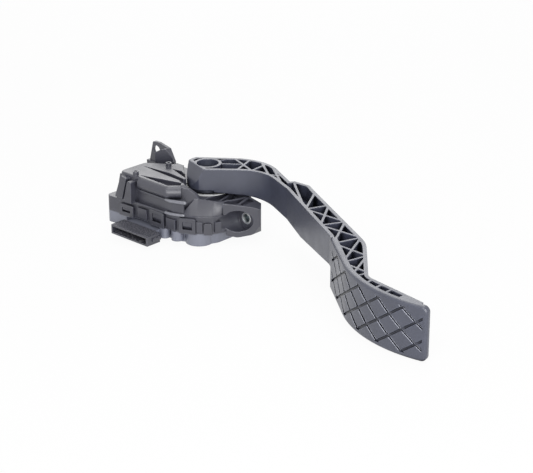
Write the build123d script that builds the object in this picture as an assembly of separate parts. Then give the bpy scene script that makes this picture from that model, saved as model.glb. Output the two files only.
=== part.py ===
from build123d import *
import math
import os

# Hanging electronic accelerator pedal: bearing and sensor housing, truss arm with tread, return springs.
# Everything is drawn about the pivot axis (X = Y = 0, Z = 0 on the arm's upper face) and is then moved
# so that the origin lies on the lower fixing bolt in the bulkhead plane.
# +X runs down the arm, -Y faces the driver, +Y faces the bulkhead, +Z runs along the pivot. Millimetres.

# Fixings on the bulkhead
MOUNT_Y = 10.0
LOWER_BOLT_X = 38.5
LOWER_BOLT_Z = -34.0
UPPER_BOLT_X = -62.9
UPPER_BOLT_Z = -7.3
UPPER_HOLE_R = 3.8
EAR_PLATE = 2.4
SLEEVE_R = 4.5
SLEEVE_BORE_R = 3.2
SLEEVE_LENGTH = 9.0
COUNTERBORE_R = 7.8
COUNTERBORE_FLARE = 1.4

# Clearances
FIT = 0.05
RUN_GAP = 0.05
SLIDE_GAP = 0.3

# Pedal travel in degrees
TRAVEL = 16.0

# Arm outline in plan: runs of the driver's face from the hub, headings in degrees
HUB_FACE_START = (8.2, -12.0)
HUB_HEADING = 40.6
HUB_LENGTH = 43.4
BEND_HEADING = -22.5
BEND_LENGTH = 40.9
SHANK_HEADING = -29.5
SHANK_LENGTH = 90.8
# the tread is straight, then an arc, then straight again at its tip
TREAD_HEADING = -38.5
TREAD_STRAIGHT = 46.7
TIP_HEADING = 13.5
TIP_STRAIGHT = 1.2
BEND_R = 30.0
TREAD_R = 95.0
# Arm outline in plan: corners of the bulkhead face, tread end to hub
TAIL_CORNER = (220.7, -79.1)
TAIL_R = 10.0
KNEE_CORNER = (184.5, -37.8)
KNEE_R = 45.0
BUMP_LOW = (95.6, 10.8)
BUMP_HIGH = (87.0, 15.8)
BUMP_R = 4.0
BUMP_FOOT = (73.2, 15.2)
NECK = (71.0, 12.4)
BACK_BEND = (26.2, 35.4)
BACK_BEND_R = 36.0
HUB_BACK = (-15.4, 3.0)
HUB_BACK_R = 5.0
HUB_TOE = (-14.6, -5.0)

# Arm section
ARM_WALL = 2.6
WEB = 2.4
WEB_TOP = -10.4
RIB = 1.7
LOWER_EDGE = ((10.0, -17.4), (50.0, -21.5), (106.0, -25.2), (160.0, -21.0))
TRUSS_END_X = 254.0
# Ribs from the driver's wall to the bulkhead wall, as the X of each end
HUB_RIBS = ((26.4, 17.7), (34.5, 7.3), (35.0, 33.5), (49.5, 22.5), (50.5, 59.5), (72.0, 34.6))
NECK_RIB = (112.0, 75.5)
FRONT_NODES = (115.0, 142.0, 169.0, 194.0, 213.0)
BACK_NODES = (98.0, 122.0, 150.0, 176.0, 198.5, 216.5)
TAIL_RIB_PITCH = 9.0
TAIL_RIBS = 3

# Tread
TREAD_WIDTH = 37.0
TREAD_PLATE = 4.0
TREAD_START = 4.5
TREAD_CORNER_R = 4.0
TREAD_EDGE_R = 1.8
GROOVE_DEPTH = 1.1
GROOVE_WIDTH = 1.7
GROOVE_PITCH = 20.0
GROOVE_SLOPE = 36.5
GROOVE_MARGIN = 3.0
TREAD_GUSSET = 2.0
GUSSET_PLACES = (22.0, 58.0, 92.0)
GUSSET_REACH = 0.6

# Hub of the arm
HUB_R = 15.5
HUB_BOTTOM = -16.4
HUB_HOLE_R = 8.2
HUB_HOLE_FLOOR = -9.0
HUB_RING = 2.2
HUB_FLOOR = 2.5
TOE_LEAN = 24.0
BACK_LEAN = 14.0

# Pivot shaft and lever
SHAFT_R = 7.0
SHAFT_FLAT = 5.6
SHAFT_TOP = HUB_HOLE_FLOOR - HUB_FLOOR
JOURNAL_R = 5.0
JOURNAL_END = -50.4
COLLAR_R = 13.5
COLLAR = 2.5
LEVER_R = 26.0
LEVER_TOP = -27.0
LEVER_HEIGHT = 8.0
LEVER_HALF = 3.6
LEVER_ROOT_HALF = 4.0
LEVER_BOSS_R = 10.0
NOSE_R = 4.0
WASHER = 0.8
WASHER_R = 11.0
DOG = 3.0
DOG_REACH = 8.0
SCREW_R = 2.5
SCREW_HEAD_R = 4.6
SCREW_HEAD = 2.8
SCREW_DRIVE_R = 2.3
SCREW_DRIVE = 1.6
SCREW_LENGTH = 14.0

# Housing levels
RECESS_FLOOR = -20.0
CEILING = -26.0
CHAMBER_TOP = -9.5
CHAMBER_ROOF = 5.5
DECK_TOP = -18.6
BAND_TOP = -28.8
BAND_STEP = -30.6
PARTING = -40.5
WALL = 2.5

# Housing plan outlines, anticlockwise, as (x, y, rounding)
BAND = (
    (-66.5, -42.6, 4.0),
    (-30.0, -39.2),
    (3.0, -39.0, 12.0),
    (19.0, -31.4, 6.0),
    (28.4, -24.2, 5.0),
    (31.5, -16.0, 4.0),
    (31.5, 19.5, 3.0),
    (-64.0, 19.5, 6.0),
)
DECK = (
    (-55.5, -39.3, 5.0),
    (-30.0, -38.2),
    (1.0, -38.2, 2.0),
    (10.5, -34.9, 1.2),
    (4.2, -28.6),
    (4.2, 17.0),
    (-55.5, 17.0, 6.0),
)
CHAMBER = (
    (-55.0, -39.0, 5.0),
    (-4.5, -38.0, 1.5),
    (3.0, -30.4),
    (3.0, -14.0),
    (-8.0, -14.2),
    (-22.5, -2.7),
    (-30.0, 4.0, 3.0),
    (-54.5, -13.0, 4.0),
)
CHAMBER_EDGE_R = 1.4
TOWER = ((-4.5, -38.0), (11.5, -21.8, 1.5), (30.0, -15.0), (30.0, 17.0, 3.0), (-6.0, 17.0, 3.0))
RECESS_X = 3.0
RECESS_Y = -3.0
RECESS_R = 22.3
RECESS_LEFT = -6.0
HUB_ROOM_R = 17.6
RIM_WALL = 1.8
SWEEP_R = 42.0
SWEEP_START = -15.0
SWEEP_END = 115.0
STEP_X = -54.0
# Rim of the bearing tower: its fall towards the lower ear, in X and Z
RIM = ((1.0, -9.4), (6.5, -11.8), (9.7, -15.6), (11.6, -19.6))
# Left end of the chamber, which leans outwards, in X and Z
LEAN = ((-54.2, -11.6), (-59.4, -33.0), (-50.0, -33.0), (-50.0, -11.6))
LEAN_Y = (-38.4, -16.0)

# Ridges along the driver's face as plan points: start, corner, end of the part that turns back
RIDGE = 1.5
RIDGE_PROUD = 1.6
UPPER_RIDGE = ((-33.0, -38.4), (0.8, -38.6), (10.9, -34.8))
UPPER_RIDGE_TOP = -18.4
LOWER_RIDGE = ((-41.0, -40.6), (0.5, -38.8), (9.6, -35.0))
LOWER_RIDGE_TOP = -28.4
# Half-round swelling under the chamber's top edge: start, corner, end on the slanting wall
BULGE_R = 4.9
BULGE_Z = -14.4
BULGE = ((-33.0, -36.4), (-5.2, -36.4), (1.6, -29.5))

# Pilasters at the left of the driver's face, outlines in X and Z
PILASTER_1_FACE = -42.6
PILASTER_1 = ((-49.2, -11.2, 1.0), (-56.0, -29.0), (-48.4, -29.5), (-43.2, -12.2, 1.0))
PILASTER_2_FACE = -45.0
PILASTER_2 = ((-39.5, -12.5, 0.8), (-44.2, -29.5), (-35.9, -29.5), (-35.8, -12.8, 0.8))
PEG_R = 2.2
PEG_HOLE_R = 1.2
PEG = 3.0
PEGS = ((-34.7, -6.8), (-39.0, -36.4))
REAR_BLOCK = ((-40.0, -32.5), (4.0, 7.0), (-28.8, -12.0))

# Tapered grooves in the top of the chamber, as plan outlines
FAN_DEPTH = 2.6
FAN = (
    ((-49.5, -19.3), (-4.0, -22.8), (-6.8, -18.2), (-24.0, -16.6)),
    ((-36.5, -34.6), (-5.5, -36.0), (1.2, -29.6), (-1.9, -25.2)),
    ((-29.0, -8.8), (-8.8, -15.6), (-8.0, -13.2), (-20.0, -7.6)),
)

# Upper ear
EAR_OUTLINE = (
    (-71.0, -18.0),
    (-66.6, -0.8, 1.5),
    (-60.0, -0.6, 1.5),
    (-49.4, -2.9, 1.5),
    (-44.2, -12.2),
    (-44.0, -20.0),
)
EAR_GUSSET = ((-46.0, 8.5), (-56.6, 0.0))
EAR_GUSSET_PROFILE = (
    (-56.6, -19.0),
    (-56.6, -5.5),
    (-52.0, -2.7),
    (-49.4, -2.2, 1.0),
    (-44.5, -11.0),
    (-44.5, -19.0),
)
EAR_GUSSET_WALL = 2.4
EAR_FLANGE = ((-73.0, -50.0), (6.5, MOUNT_Y), (-30.0, -17.0))

# Sloping front under the tower: plan corners where it stands on the band and where it ends
APRON_FOOT = ((8.0, -36.0), (17.6, -30.4), (26.8, -23.4), (30.0, -16.0), (8.0, -16.0))
APRON_TOP = ((9.5, -23.8), (11.5, -21.8), (24.0, -17.2), (30.0, -15.0), (9.5, -15.0))

# Lower ear: plan outline and outline in X and Z
FOOT_TOP = -19.6
FOOT_PLAN = (
    (8.0, -21.0),
    (11.5, -21.8),
    (30.0, -15.0, 3.0),
    (37.5, -8.5, 5.0),
    (50.5, 4.0, 2.5),
    (44.9, MOUNT_Y),
    (8.0, MOUNT_Y),
)
FOOT_PROFILE = (
    (8.0, FOOT_TOP),
    (8.0, -33.0),
    (24.0, -35.0),
    (30.0, -44.5, 3.0),
    (38.0, -46.8, 5.0),
    (46.5, -44.5, 4.0),
    (50.5, -36.0, 3.0),
    (50.5, -25.0, 2.5),
    (46.0, -23.2),
    (35.1, -21.1),
    (24.0, FOOT_TOP),
)
FOOT_WALL = 1.6
FOOT_POCKET_X = (15.0, 40.0)
FOOT_POCKET_FLOOR = -23.4
FOOT_WELL = ((18.5, 29.0), (-9.5, 6.5), (-27.0, FOOT_POCKET_FLOOR))
# Ribs across the pocket as plan points
FOOT_RIBS = (((17.0, 10.0), (27.0, -17.0)), ((27.0, -17.0), (33.0, 10.0)), ((33.0, 10.0), (38.0, -9.0)))

# Bushes
BUSH_WALL = 2.0
BUSH_FLANGE_R = 10.8
BUSH_FLANGE = 0.8
LOWER_BUSH = 6.0
LOWER_BOSS_R = 9.4

# Return springs and carriage
SPRING_TURNS = 5.5
SPRING_R = 5.4
SPRING_WIRE_R = 0.8
INNER_TURNS = 7.0
INNER_R = 3.4
INNER_WIRE_R = 0.6
COIL_STEPS = 12
COIL_SIDES = 6
SLIDER_HALF = 9.9
SLIDER_HALF_HEIGHT = 7.0
SLIDER_LENGTH = 9.2
CUP_R = 6.4
CUP_DEPTH = 1.5
PEG_IN_SPRING_R = 2.4
PEG_IN_SPRING = 4.5
SEAT = 1.5
SEAT_R = 6.8
SEAT_STUB = 2.0
GUIDE_WALL = 2.0
GUIDE_START = -2.0
GUIDE_LIP = 2.4
GUIDE_LIP_WALL = 1.2
SPRING_WALL_Y = -34.5
PAD_THICK = 1.2
PAD_PROUD = 0.6
PAD_LENGTH = 7.0
PAD_HEIGHT = 9.0
STOP_PAD = 3.4
STOP_PAD_HEIGHT = 6.0
IDLE_STOP_X = (-24.0, -18.0)
FULL_STOP_RADII = (13.5, 17.5)

# Sensor
ROTOR_R = 13.0
ROTOR_HUB_R = 8.0
ROTOR_TOP = -37.0
ROTOR = 1.8
TARGET = 0.6
TARGET_R = 12.4
TARGET_RING_R = 7.4
TARGET_LOBES = 3
TARGET_LOBE_WIDTH = 8.0
BOARD = 1.6
BOARD_TOP = -41.6
BOARD_HOLE_R = 6.5
BOARD_GAP = 0.4
CHIP = (7.0, 7.0, 1.1)
CHIPS = ((-27.0, -3.0), (-40.0, -8.0), (2.0, -18.0))
PIN = 0.9
PIN_COUNT = 6
PIN_PITCH = 5.0
PIN_Z = -47.6
PIN_TIP_Y = -53.2
PIN_BEND_Y = -29.0
PIN_TOP = -40.7
BOARD_SCREWS = ((-45.0, -22.0), (-45.0, 6.0), (17.0, 7.0))
BOARD_SCREW_R = 1.2
BOARD_SCREW_HEAD_R = 2.2
BOARD_SCREW_HEAD = 1.0
BOARD_SCREW_LENGTH = 7.0
BOARD_POST_R = 2.6

# Sensor cover
COVER_BOTTOM = -52.0
COVER_FLOOR = 2.2
COVER_RIM = 1.8
COVER_WALL = 2.2
TRAY_STEP = 6.0
LEFT_TRAY_X = -46.0
LEFT_TRAY_BOTTOM = -51.4
# Lobes under the cover's edge as (x, y, radius, bottom)
COVER_LOBES = ((-8.4, -37.0, 3.9, -50.2), (2.4, -34.6, 4.6, -50.0), (13.4, -22.9, 10.3, COVER_BOTTOM))
SEAL = 0.8
SEAL_EDGE = 0.6
SEAL_WIDTH = 1.3
TAB = 1.8
TAB_GAP = 0.25
TAB_RADIUS = 1.5
TAB_WINDOW_MARGIN = 2.8
TAB_WINDOW_FOOT = 3.2
CATCH_PROUD = 1.7
# Tabs as (wall of the band, distance along it, width, top)
TABS = ((0, 22.1, 13.6, -33.0), (1, 17.0, 14.8, -30.0), (2, 11.2, 13.0, -30.4), (3, 8.6, 6.0, -33.4))
TABS_WITH_WINDOW = 3
# Blocks on the housing between the tabs
BLOCKS = ((1, 1.0, 9.6), (1, 31.0, 9.0), (3, 2.4, 4.6), (4, 4.0, 5.0))
BLOCK_TOP = -32.6
BLOCK_PROUD = 1.5

# Connector shroud
PLUG_CENTRE_X = -24.8
PLUG_WIDTH = 38.6
PLUG_HEIGHT = 7.2
PLUG_TOP = -44.0
PLUG_MOUTH_Y = -58.0
PLUG_WALL = 1.25
PLUG_DEPTH = 11.0
PLUG_BACK_Y = -45.0
PLUG_NECK_X = (-41.0, -10.5)
PLUG_RIB = 1.2
PLUG_RIB_LENGTH = 8.0


def heading(degrees):
    return Vector(math.cos(math.radians(degrees)), math.sin(math.radians(degrees)))


def outline(corners):
    """Face of a closed outline whose corners are (x, y) or (x, y, rounding radius)."""
    count = len(corners)
    entries, exits, edges = [], [], []
    for i, corner in enumerate(corners):
        point = Vector(corner[0], corner[1])
        radius = corner[2] if len(corner) > 2 else 0.0
        back = (Vector(*corners[i - 1][:2]) - point).normalized()
        ahead = (Vector(*corners[(i + 1) % count][:2]) - point).normalized()
        if radius == 0.0:
            entries.append(point)
            exits.append(point)
            continue
        half = math.radians(back.get_angle(ahead)) / 2
        entries.append(point + back * (radius / math.tan(half)))
        exits.append(point + ahead * (radius / math.tan(half)))
        middle = point + (back + ahead).normalized() * (radius / math.sin(half) - radius)
        edges.append(ThreePointArc(entries[-1], middle, exits[-1]))
    for i in range(count):
        following = entries[(i + 1) % count]
        if (following - exits[i]).length > 1e-4:
            edges.append(Line(exits[i], following))
    return make_face(edges)


def inset(corners, distance):
    """Corners of the same outline moved inwards; the corners run anticlockwise."""
    count = len(corners)
    moved = []
    for i, corner in enumerate(corners):
        point = Vector(corner[0], corner[1])
        arriving = (point - Vector(*corners[i - 1][:2])).normalized()
        leaving = (Vector(*corners[(i + 1) % count][:2]) - point).normalized()
        turn = math.atan2(arriving.cross(leaving).Z, arriving.dot(leaving))
        left = Vector(-arriving.Y, arriving.X)
        shifted = point + left * distance + arriving * (distance * -math.tan(turn / 2))
        radius = corner[2] if len(corner) > 2 else 0.0
        radius = radius - distance if turn > 0 else radius + distance if radius else 0.0
        moved.append((shifted.X, shifted.Y, max(radius, 0.0)))
    return moved


def prism(corners, low, high):
    return Pos(0, 0, low) * extrude(outline(corners), high - low)


def block(x, y, z):
    centre = Vector((x[0] + x[1]) / 2, (y[0] + y[1]) / 2, (z[0] + z[1]) / 2)
    return Pos(centre) * Box(abs(x[1] - x[0]), abs(y[1] - y[0]), abs(z[1] - z[0]))


def post(x, y, radius, low, high):
    return Pos(x, y, (low + high) / 2) * Cylinder(radius, high - low)


def rod_y(x, z, radius, start, end):
    return Pos(x, (start + end) / 2, z) * Rot(90, 0, 0) * Cylinder(radius, abs(end - start))


def profile_xz(corners, y_low, y_high):
    """Prism along Y of an outline drawn in X and Z."""
    flat = [(c[0], c[1]) + tuple(c[2:]) for c in corners]
    face = Plane.XZ * outline(flat)
    return Pos(0, y_high, 0) * extrude(face, y_high - y_low)


def strip(start, end, width):
    """Flat rib in plan between two points."""
    span = Vector(*end) - Vector(*start)
    middle = (Vector(*start) + Vector(*end)) * 0.5
    angle = math.degrees(math.atan2(span.Y, span.X))
    return Pos(middle.X, middle.Y) * Rot(0, 0, angle) * Rectangle(span.length, width)


def chain(start, runs):
    points = [Vector(*start)]
    for direction, length in runs:
        points.append(points[-1] + heading(direction) * length)
    return points


# Plan outline of the arm, anticlockwise from the hub's driver-side corner
TREAD_TANGENT = TREAD_R * math.tan(math.radians(TIP_HEADING - TREAD_HEADING) / 2)
FACE = chain(
    HUB_FACE_START,
    (
        (HUB_HEADING, HUB_LENGTH),
        (BEND_HEADING, BEND_LENGTH),
        (SHANK_HEADING, SHANK_LENGTH),
        (TREAD_HEADING, TREAD_STRAIGHT + TREAD_TANGENT),
        (TIP_HEADING, TREAD_TANGENT + TIP_STRAIGHT),
    ),
)
HUB_CORNER, BEND, CREASE, TREAD_TOP, TREAD_APEX, TREAD_TIP = FACE
TIP_BACK = TREAD_TIP + heading(TIP_HEADING + 90) * TREAD_PLATE
ARM_CORNERS = [
    (HUB_CORNER.X, HUB_CORNER.Y),
    (BEND.X, BEND.Y, BEND_R),
    (CREASE.X, CREASE.Y),
    (TREAD_TOP.X, TREAD_TOP.Y),
    (TREAD_APEX.X, TREAD_APEX.Y, TREAD_R),
    (TREAD_TIP.X, TREAD_TIP.Y),
    (TIP_BACK.X, TIP_BACK.Y),
    (*TAIL_CORNER, TAIL_R),
    (*KNEE_CORNER, KNEE_R),
    BUMP_LOW,
    (*BUMP_HIGH, BUMP_R),
    BUMP_FOOT,
    NECK,
    (*BACK_BEND, BACK_BEND_R),
    (*HUB_BACK, HUB_BACK_R),
    HUB_TOE,
]
FRONT_LINE = FACE
BACK_CORNERS = (HUB_BACK, BACK_BEND, NECK, BUMP_LOW, KNEE_CORNER, TAIL_CORNER)
BACK_LINE = [Vector(*p) for p in BACK_CORNERS] + [TIP_BACK]


def at_x(line, x):
    """Point at a given X on a line of corners that runs along +X."""
    for a, b in zip(line, line[1:]):
        if a.X <= x <= b.X:
            return (x, a.Y + (b.Y - a.Y) * (x - a.X) / (b.X - a.X))
    return (x, line[-1].Y)


def truss_ribs():
    pairs = [*HUB_RIBS, NECK_RIB]
    for i, front in enumerate(FRONT_NODES):
        pairs += [(front, back) for back in BACK_NODES[i:i + 3]]
    ribs = [strip(at_x(FRONT_LINE, f), at_x(BACK_LINE, b), RIB) for f, b in pairs]
    for i in range(TAIL_RIBS):
        x = BACK_NODES[-1] + (i + 1) * TAIL_RIB_PITCH
        ribs.append(strip(at_x(FRONT_LINE, x), at_x(BACK_LINE, x), RIB))
    return ribs


def tread_frame():
    """Centre of the tread's arc and the directions at which the arc starts and ends."""
    start = TREAD_APEX - heading(TREAD_HEADING) * TREAD_TANGENT
    centre = start + heading(TREAD_HEADING + 90) * TREAD_R
    return start, centre


def tread_layer(depth):
    """Plan face of a layer of the tread, from its surface down to a depth."""
    start, centre = tread_frame()
    top = TREAD_TOP + heading(TREAD_HEADING) * TREAD_START
    inward, tip_inward = heading(TREAD_HEADING + 90), heading(TIP_HEADING + 90)
    finish = centre - tip_inward * TREAD_R
    middle = heading((TREAD_HEADING + TIP_HEADING) / 2 + 90)
    low_top, low_start = top + inward * depth, start + inward * depth
    low_finish, low_tip = finish + tip_inward * depth, TREAD_TIP + tip_inward * depth
    edges = [
        Line(top, start),
        ThreePointArc(start, centre - middle * TREAD_R, finish),
        Line(finish, TREAD_TIP),
        Line(TREAD_TIP, low_tip),
        Line(low_tip, low_finish),
        ThreePointArc(low_finish, centre - middle * (TREAD_R - depth), low_start),
        Line(low_start, low_top),
        Line(low_top, top),
    ]
    return make_face(edges)


def tread_grooves():
    """Diamond grooves: a net of strips seen along Y, kept to a thin layer of the tread's surface."""
    left, right = TREAD_TOP.X + TREAD_START, TREAD_TIP.X
    middle_x, middle_z = (left + right) / 2, -TREAD_WIDTH / 2
    length = TREAD_WIDTH / math.sin(math.radians(GROOVE_SLOPE)) + GROOVE_PITCH
    copies = int((right - left) / GROOVE_PITCH) + 3
    groove = Rectangle(length, GROOVE_WIDTH)
    net = Sketch()
    for slope in (GROOVE_SLOPE, -GROOVE_SLOPE):
        for i in range(-copies // 2, copies // 2 + 1):
            net += Pos(middle_x + i * GROOVE_PITCH, middle_z) * Rot(0, 0, slope) * groove
    field = Rectangle(right - left - 2 * GROOVE_MARGIN, TREAD_WIDTH - 2 * GROOVE_MARGIN)
    net &= Pos(middle_x, middle_z) * field
    behind = TREAD_TOP.Y + TREAD_PLATE
    reach = behind - min(TREAD_APEX.Y, TREAD_TIP.Y) + 1
    net = Pos(0, behind, 0) * extrude(Plane.XZ * net, reach)
    skin = Pos(0, 0, -TREAD_WIDTH) * extrude(tread_layer(GROOVE_DEPTH), TREAD_WIDTH)
    return skin & net


def tread_point(s):
    """Point and heading on the tread's surface at a distance from the top of the tread."""
    start, centre = tread_frame()
    straight = (start - TREAD_TOP).length
    if s <= straight:
        return TREAD_TOP + heading(TREAD_HEADING) * s, TREAD_HEADING
    turned = TREAD_HEADING + math.degrees((s - straight) / TREAD_R)
    return centre - heading(turned + 90) * TREAD_R, turned


def tread_gusset(s):
    """Triangular rib that carries the overhanging half of the tread."""
    point, direction = tread_point(s)
    low = LOWER_EDGE[-1][1]
    reach = (low + TREAD_WIDTH - GROOVE_MARGIN) * GUSSET_REACH
    plane = Plane(origin=point, x_dir=heading(direction + 90), z_dir=heading(direction))
    inner = TREAD_PLATE / 2
    top = low + inner
    corners = [(inner, top), (inner, GROOVE_MARGIN - TREAD_WIDTH), (TREAD_PLATE + reach, top)]
    return extrude(plane * outline(corners), TREAD_GUSSET / 2, both=True)


def tread_plate():
    start, centre = tread_frame()
    plate = Pos(0, 0, -TREAD_WIDTH) * extrude(tread_layer(TREAD_PLATE), TREAD_WIDTH)
    corners = plate.edges().filter_by(GeomType.LINE).filter_by(lambda e: abs(e.length - TREAD_PLATE) < 1e-3)
    plate = fillet(corners.sort_by(Axis.X)[-2:], TREAD_CORNER_R)

    def on_surface(edge):
        at = edge @ 0.5
        flat = Vector(at.X, at.Y)
        if abs(at.Z) > 1e-3 and abs(at.Z + TREAD_WIDTH) > 1e-3:
            return False
        off_arc = abs((flat - centre).length - TREAD_R)
        off_run = abs((flat - TREAD_TOP).dot(heading(TREAD_HEADING + 90)))
        off_tip = abs((flat - TREAD_TIP).dot(heading(TIP_HEADING + 90)))
        return min(off_arc, off_run, off_tip) < 1e-3

    rim = [e for e in plate.edges() if on_surface(e)]
    return fillet(rim, TREAD_EDGE_R)


def make_pedal_arm():
    deepest = min(z for _, z in LOWER_EDGE) - 1
    body = prism(ARM_CORNERS, deepest, 0)
    left, right = HUB_TOE[0] - HUB_R, TREAD_TIP.X + TREAD_WIDTH
    edge = [(left, LOWER_EDGE[0][1]), *LOWER_EDGE, (right, LOWER_EDGE[-1][1])]
    under = edge + [(right, deepest - 1), (left, deepest - 1)]
    body -= profile_xz(under, TREAD_APEX.Y - TREAD_R, BACK_BEND[1] + HUB_R)
    # open truss: cells between the ribs, cut from both faces down to a web
    inner = outline(inset(ARM_CORNERS, ARM_WALL))
    beyond = 2 * TREAD_R
    inner -= Pos(TRUSS_END_X + beyond, 0) * Rectangle(2 * beyond, 4 * beyond)
    inner -= Circle(HUB_HOLE_R + HUB_RING)
    cells = inner - truss_ribs()
    body -= Pos(0, 0, deepest - 1) * extrude(cells - Circle(HUB_R), WEB_TOP - WEB - deepest + 1)
    # hub: a drum whose toe and back lean outwards to its round lower rim
    drum = post(0, 0, HUB_R, HUB_BOTTOM, 0)
    toe = HUB_CORNER - Vector(*HUB_TOE)
    back = Vector(*BACK_BEND) - Vector(*HUB_BACK)
    for at, along, lean in (
        (HUB_CORNER, toe, TOE_LEAN),
        (HUB_CORNER, heading(HUB_HEADING), 0.0),
        (Vector(*HUB_BACK), back * -1, BACK_LEAN),
    ):
        along = along.normalized()
        outwards = Vector(along.Y, -along.X)
        tilt = math.radians(lean)
        facing = outwards * math.cos(tilt) + Vector(0, 0, math.sin(tilt))
        drum = split(drum, bisect_by=Plane(origin=at, x_dir=along, z_dir=facing), keep=Keep.BOTTOM)
    body += drum
    body -= Pos(0, 0, WEB_TOP) * extrude(cells, 1 - WEB_TOP)
    body -= post(0, 0, HUB_R, deepest - 1, HUB_BOTTOM)
    body += post(0, 0, COLLAR_R, HUB_BOTTOM - COLLAR, HUB_BOTTOM + COLLAR)
    body -= post(0, 0, HUB_HOLE_R, HUB_HOLE_FLOOR, 1)
    body -= shaft_key(FIT, HUB_BOTTOM - COLLAR - 1, SHAFT_TOP)
    body -= post(0, 0, SCREW_R + FIT, SHAFT_TOP - 1, HUB_HOLE_FLOOR + 1)
    # the arm ends behind the tread, whose rounded edge and tip stand free
    free = 2 * (TREAD_CORNER_R + TREAD_EDGE_R)
    tip = Pos(TREAD_TIP.X, TREAD_TIP.Y) * Rot(0, 0, TIP_HEADING) * Rectangle(free, 4 * TREAD_PLATE)
    body -= Pos(0, 0, deepest) * extrude(tread_layer(TREAD_PLATE) + tip, 1 - deepest)
    for s in GUSSET_PLACES:
        body += tread_gusset(s)
    return body + tread_plate() - tread_grooves()


def shaft_key(gap, low, high):
    """Shaft end with two flats, shared by the shaft and its socket in the arm."""
    flats = block((-SHAFT_R * 2, SHAFT_R * 2), (-SHAFT_FLAT - gap, SHAFT_FLAT + gap), (low, high))
    return post(0, 0, SHAFT_R + gap, low, high) & flats


# Derived places of the lever, the carriage and the cover
LEVER_MID = LEVER_TOP - LEVER_HEIGHT / 2
LEVER_BOTTOM = LEVER_TOP - LEVER_HEIGHT
SLIDER_FACE = -NOSE_R - SLIDE_GAP
SLIDER_BACK = SLIDER_FACE - SLIDER_LENGTH
SLIDER_X = -LEVER_R
SLIDE_HALF = SLIDER_HALF + PAD_PROUD
GUIDE_TOP = LEVER_MID + SLIDER_HALF_HEIGHT + SLIDE_GAP
GUIDE_BOTTOM = LEVER_MID - SLIDER_HALF_HEIGHT - SLIDE_GAP
CHAMBER_CEILING = CHAMBER_TOP - CHAMBER_ROOF
BUSH_R = SHAFT_R + RUN_GAP + BUSH_WALL
LOWER_BUSH_R = JOURNAL_R + RUN_GAP + BUSH_WALL
RIM_BOTTOM = PARTING - COVER_RIM
TRAY_INSET = TRAY_STEP + COVER_WALL
TAB_FACE = TAB_GAP + TAB


def lever_half(radius):
    """Half width of the lever at a distance from the pivot."""
    return LEVER_ROOT_HALF + (LEVER_HALF - LEVER_ROOT_HALF) * radius / LEVER_R


def pressed_face(radius):
    """Where a point on the lever's driver side comes to at full travel."""
    turned = math.radians(TRAVEL)
    half = lever_half(radius)
    x = -radius * math.cos(turned) + half * math.sin(turned)
    y = -radius * math.sin(turned) - half * math.cos(turned)
    return x, y


def make_pivot_lever():
    ends = [(0, -LEVER_ROOT_HALF), (0, LEVER_ROOT_HALF), (-LEVER_R, LEVER_HALF), (-LEVER_R, -LEVER_HALF)]
    lever = prism(ends, LEVER_BOTTOM, LEVER_TOP)
    lever += post(-LEVER_R, 0, NOSE_R, LEVER_BOTTOM, LEVER_TOP)
    lever += post(0, 0, LEVER_BOSS_R, LEVER_BOTTOM, LEVER_TOP)
    lever += post(0, 0, SHAFT_R, LEVER_TOP, RECESS_FLOOR)
    lever += shaft_key(0, RECESS_FLOOR, SHAFT_TOP)
    lever += post(0, 0, JOURNAL_R, JOURNAL_END, LEVER_BOTTOM)
    lever += block((0, DOG_REACH), (-DOG / 2, DOG / 2), (ROTOR_TOP - ROTOR / 2, LEVER_BOTTOM))
    return lever - post(0, 0, SCREW_R + FIT, HUB_HOLE_FLOOR - SCREW_LENGTH - 1, SHAFT_TOP)


def make_arm_screw():
    screw = post(0, 0, SCREW_R, HUB_HOLE_FLOOR - SCREW_LENGTH, HUB_HOLE_FLOOR)
    screw += post(0, 0, SCREW_HEAD_R, HUB_HOLE_FLOOR, HUB_HOLE_FLOOR + SCREW_HEAD)
    top = HUB_HOLE_FLOOR + SCREW_HEAD
    return screw - Pos(0, 0, top - SCREW_DRIVE) * extrude(RegularPolygon(SCREW_DRIVE_R, 6), SCREW_DRIVE)


def make_thrust_washer():
    washer = post(0, 0, WASHER_R, LEVER_TOP, LEVER_TOP + WASHER)
    return washer - post(0, 0, SHAFT_R + FIT, LEVER_TOP, LEVER_TOP + WASHER)


def make_sensor_rotor():
    rotor = post(0, 0, ROTOR_R, ROTOR_TOP - ROTOR, ROTOR_TOP)
    rotor += post(0, 0, ROTOR_HUB_R, ROTOR_TOP, LEVER_BOTTOM)
    rotor -= post(0, 0, JOURNAL_R + FIT, ROTOR_TOP - ROTOR, LEVER_BOTTOM)
    slot = DOG / 2 + FIT
    return rotor - block((0, DOG_REACH + FIT), (-slot, slot), (ROTOR_TOP - ROTOR / 2 - FIT, LEVER_BOTTOM))


def make_rotor_target():
    plate = Circle(TARGET_RING_R)
    lobe = Pos(TARGET_R / 2, 0) * Rectangle(TARGET_R, TARGET_LOBE_WIDTH)
    for i in range(TARGET_LOBES):
        plate += Rot(0, 0, 360 * i / TARGET_LOBES) * lobe
    plate &= Circle(TARGET_R)
    plate -= Circle(JOURNAL_R + FIT)
    return Pos(0, 0, ROTOR_TOP - ROTOR - TARGET) * extrude(plate, TARGET)


def wall_place(wall, distance):
    """Location on a wall of the band: X along it, Y outwards, Z up."""
    a, b = Vector(*BAND[wall][:2]), Vector(*BAND[wall + 1][:2])
    along = (b - a).normalized()
    return Plane(origin=a + along * distance, x_dir=along * -1, z_dir=(0, 0, 1)).location


def rod(start, end, level, radius):
    """Level round rod between two plan points."""
    span = Vector(*end) - Vector(*start)
    at = Plane(origin=(*start, level), z_dir=span).location
    return at * Pos(0, 0, span.length / 2) * Cylinder(radius, span.length)


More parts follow.
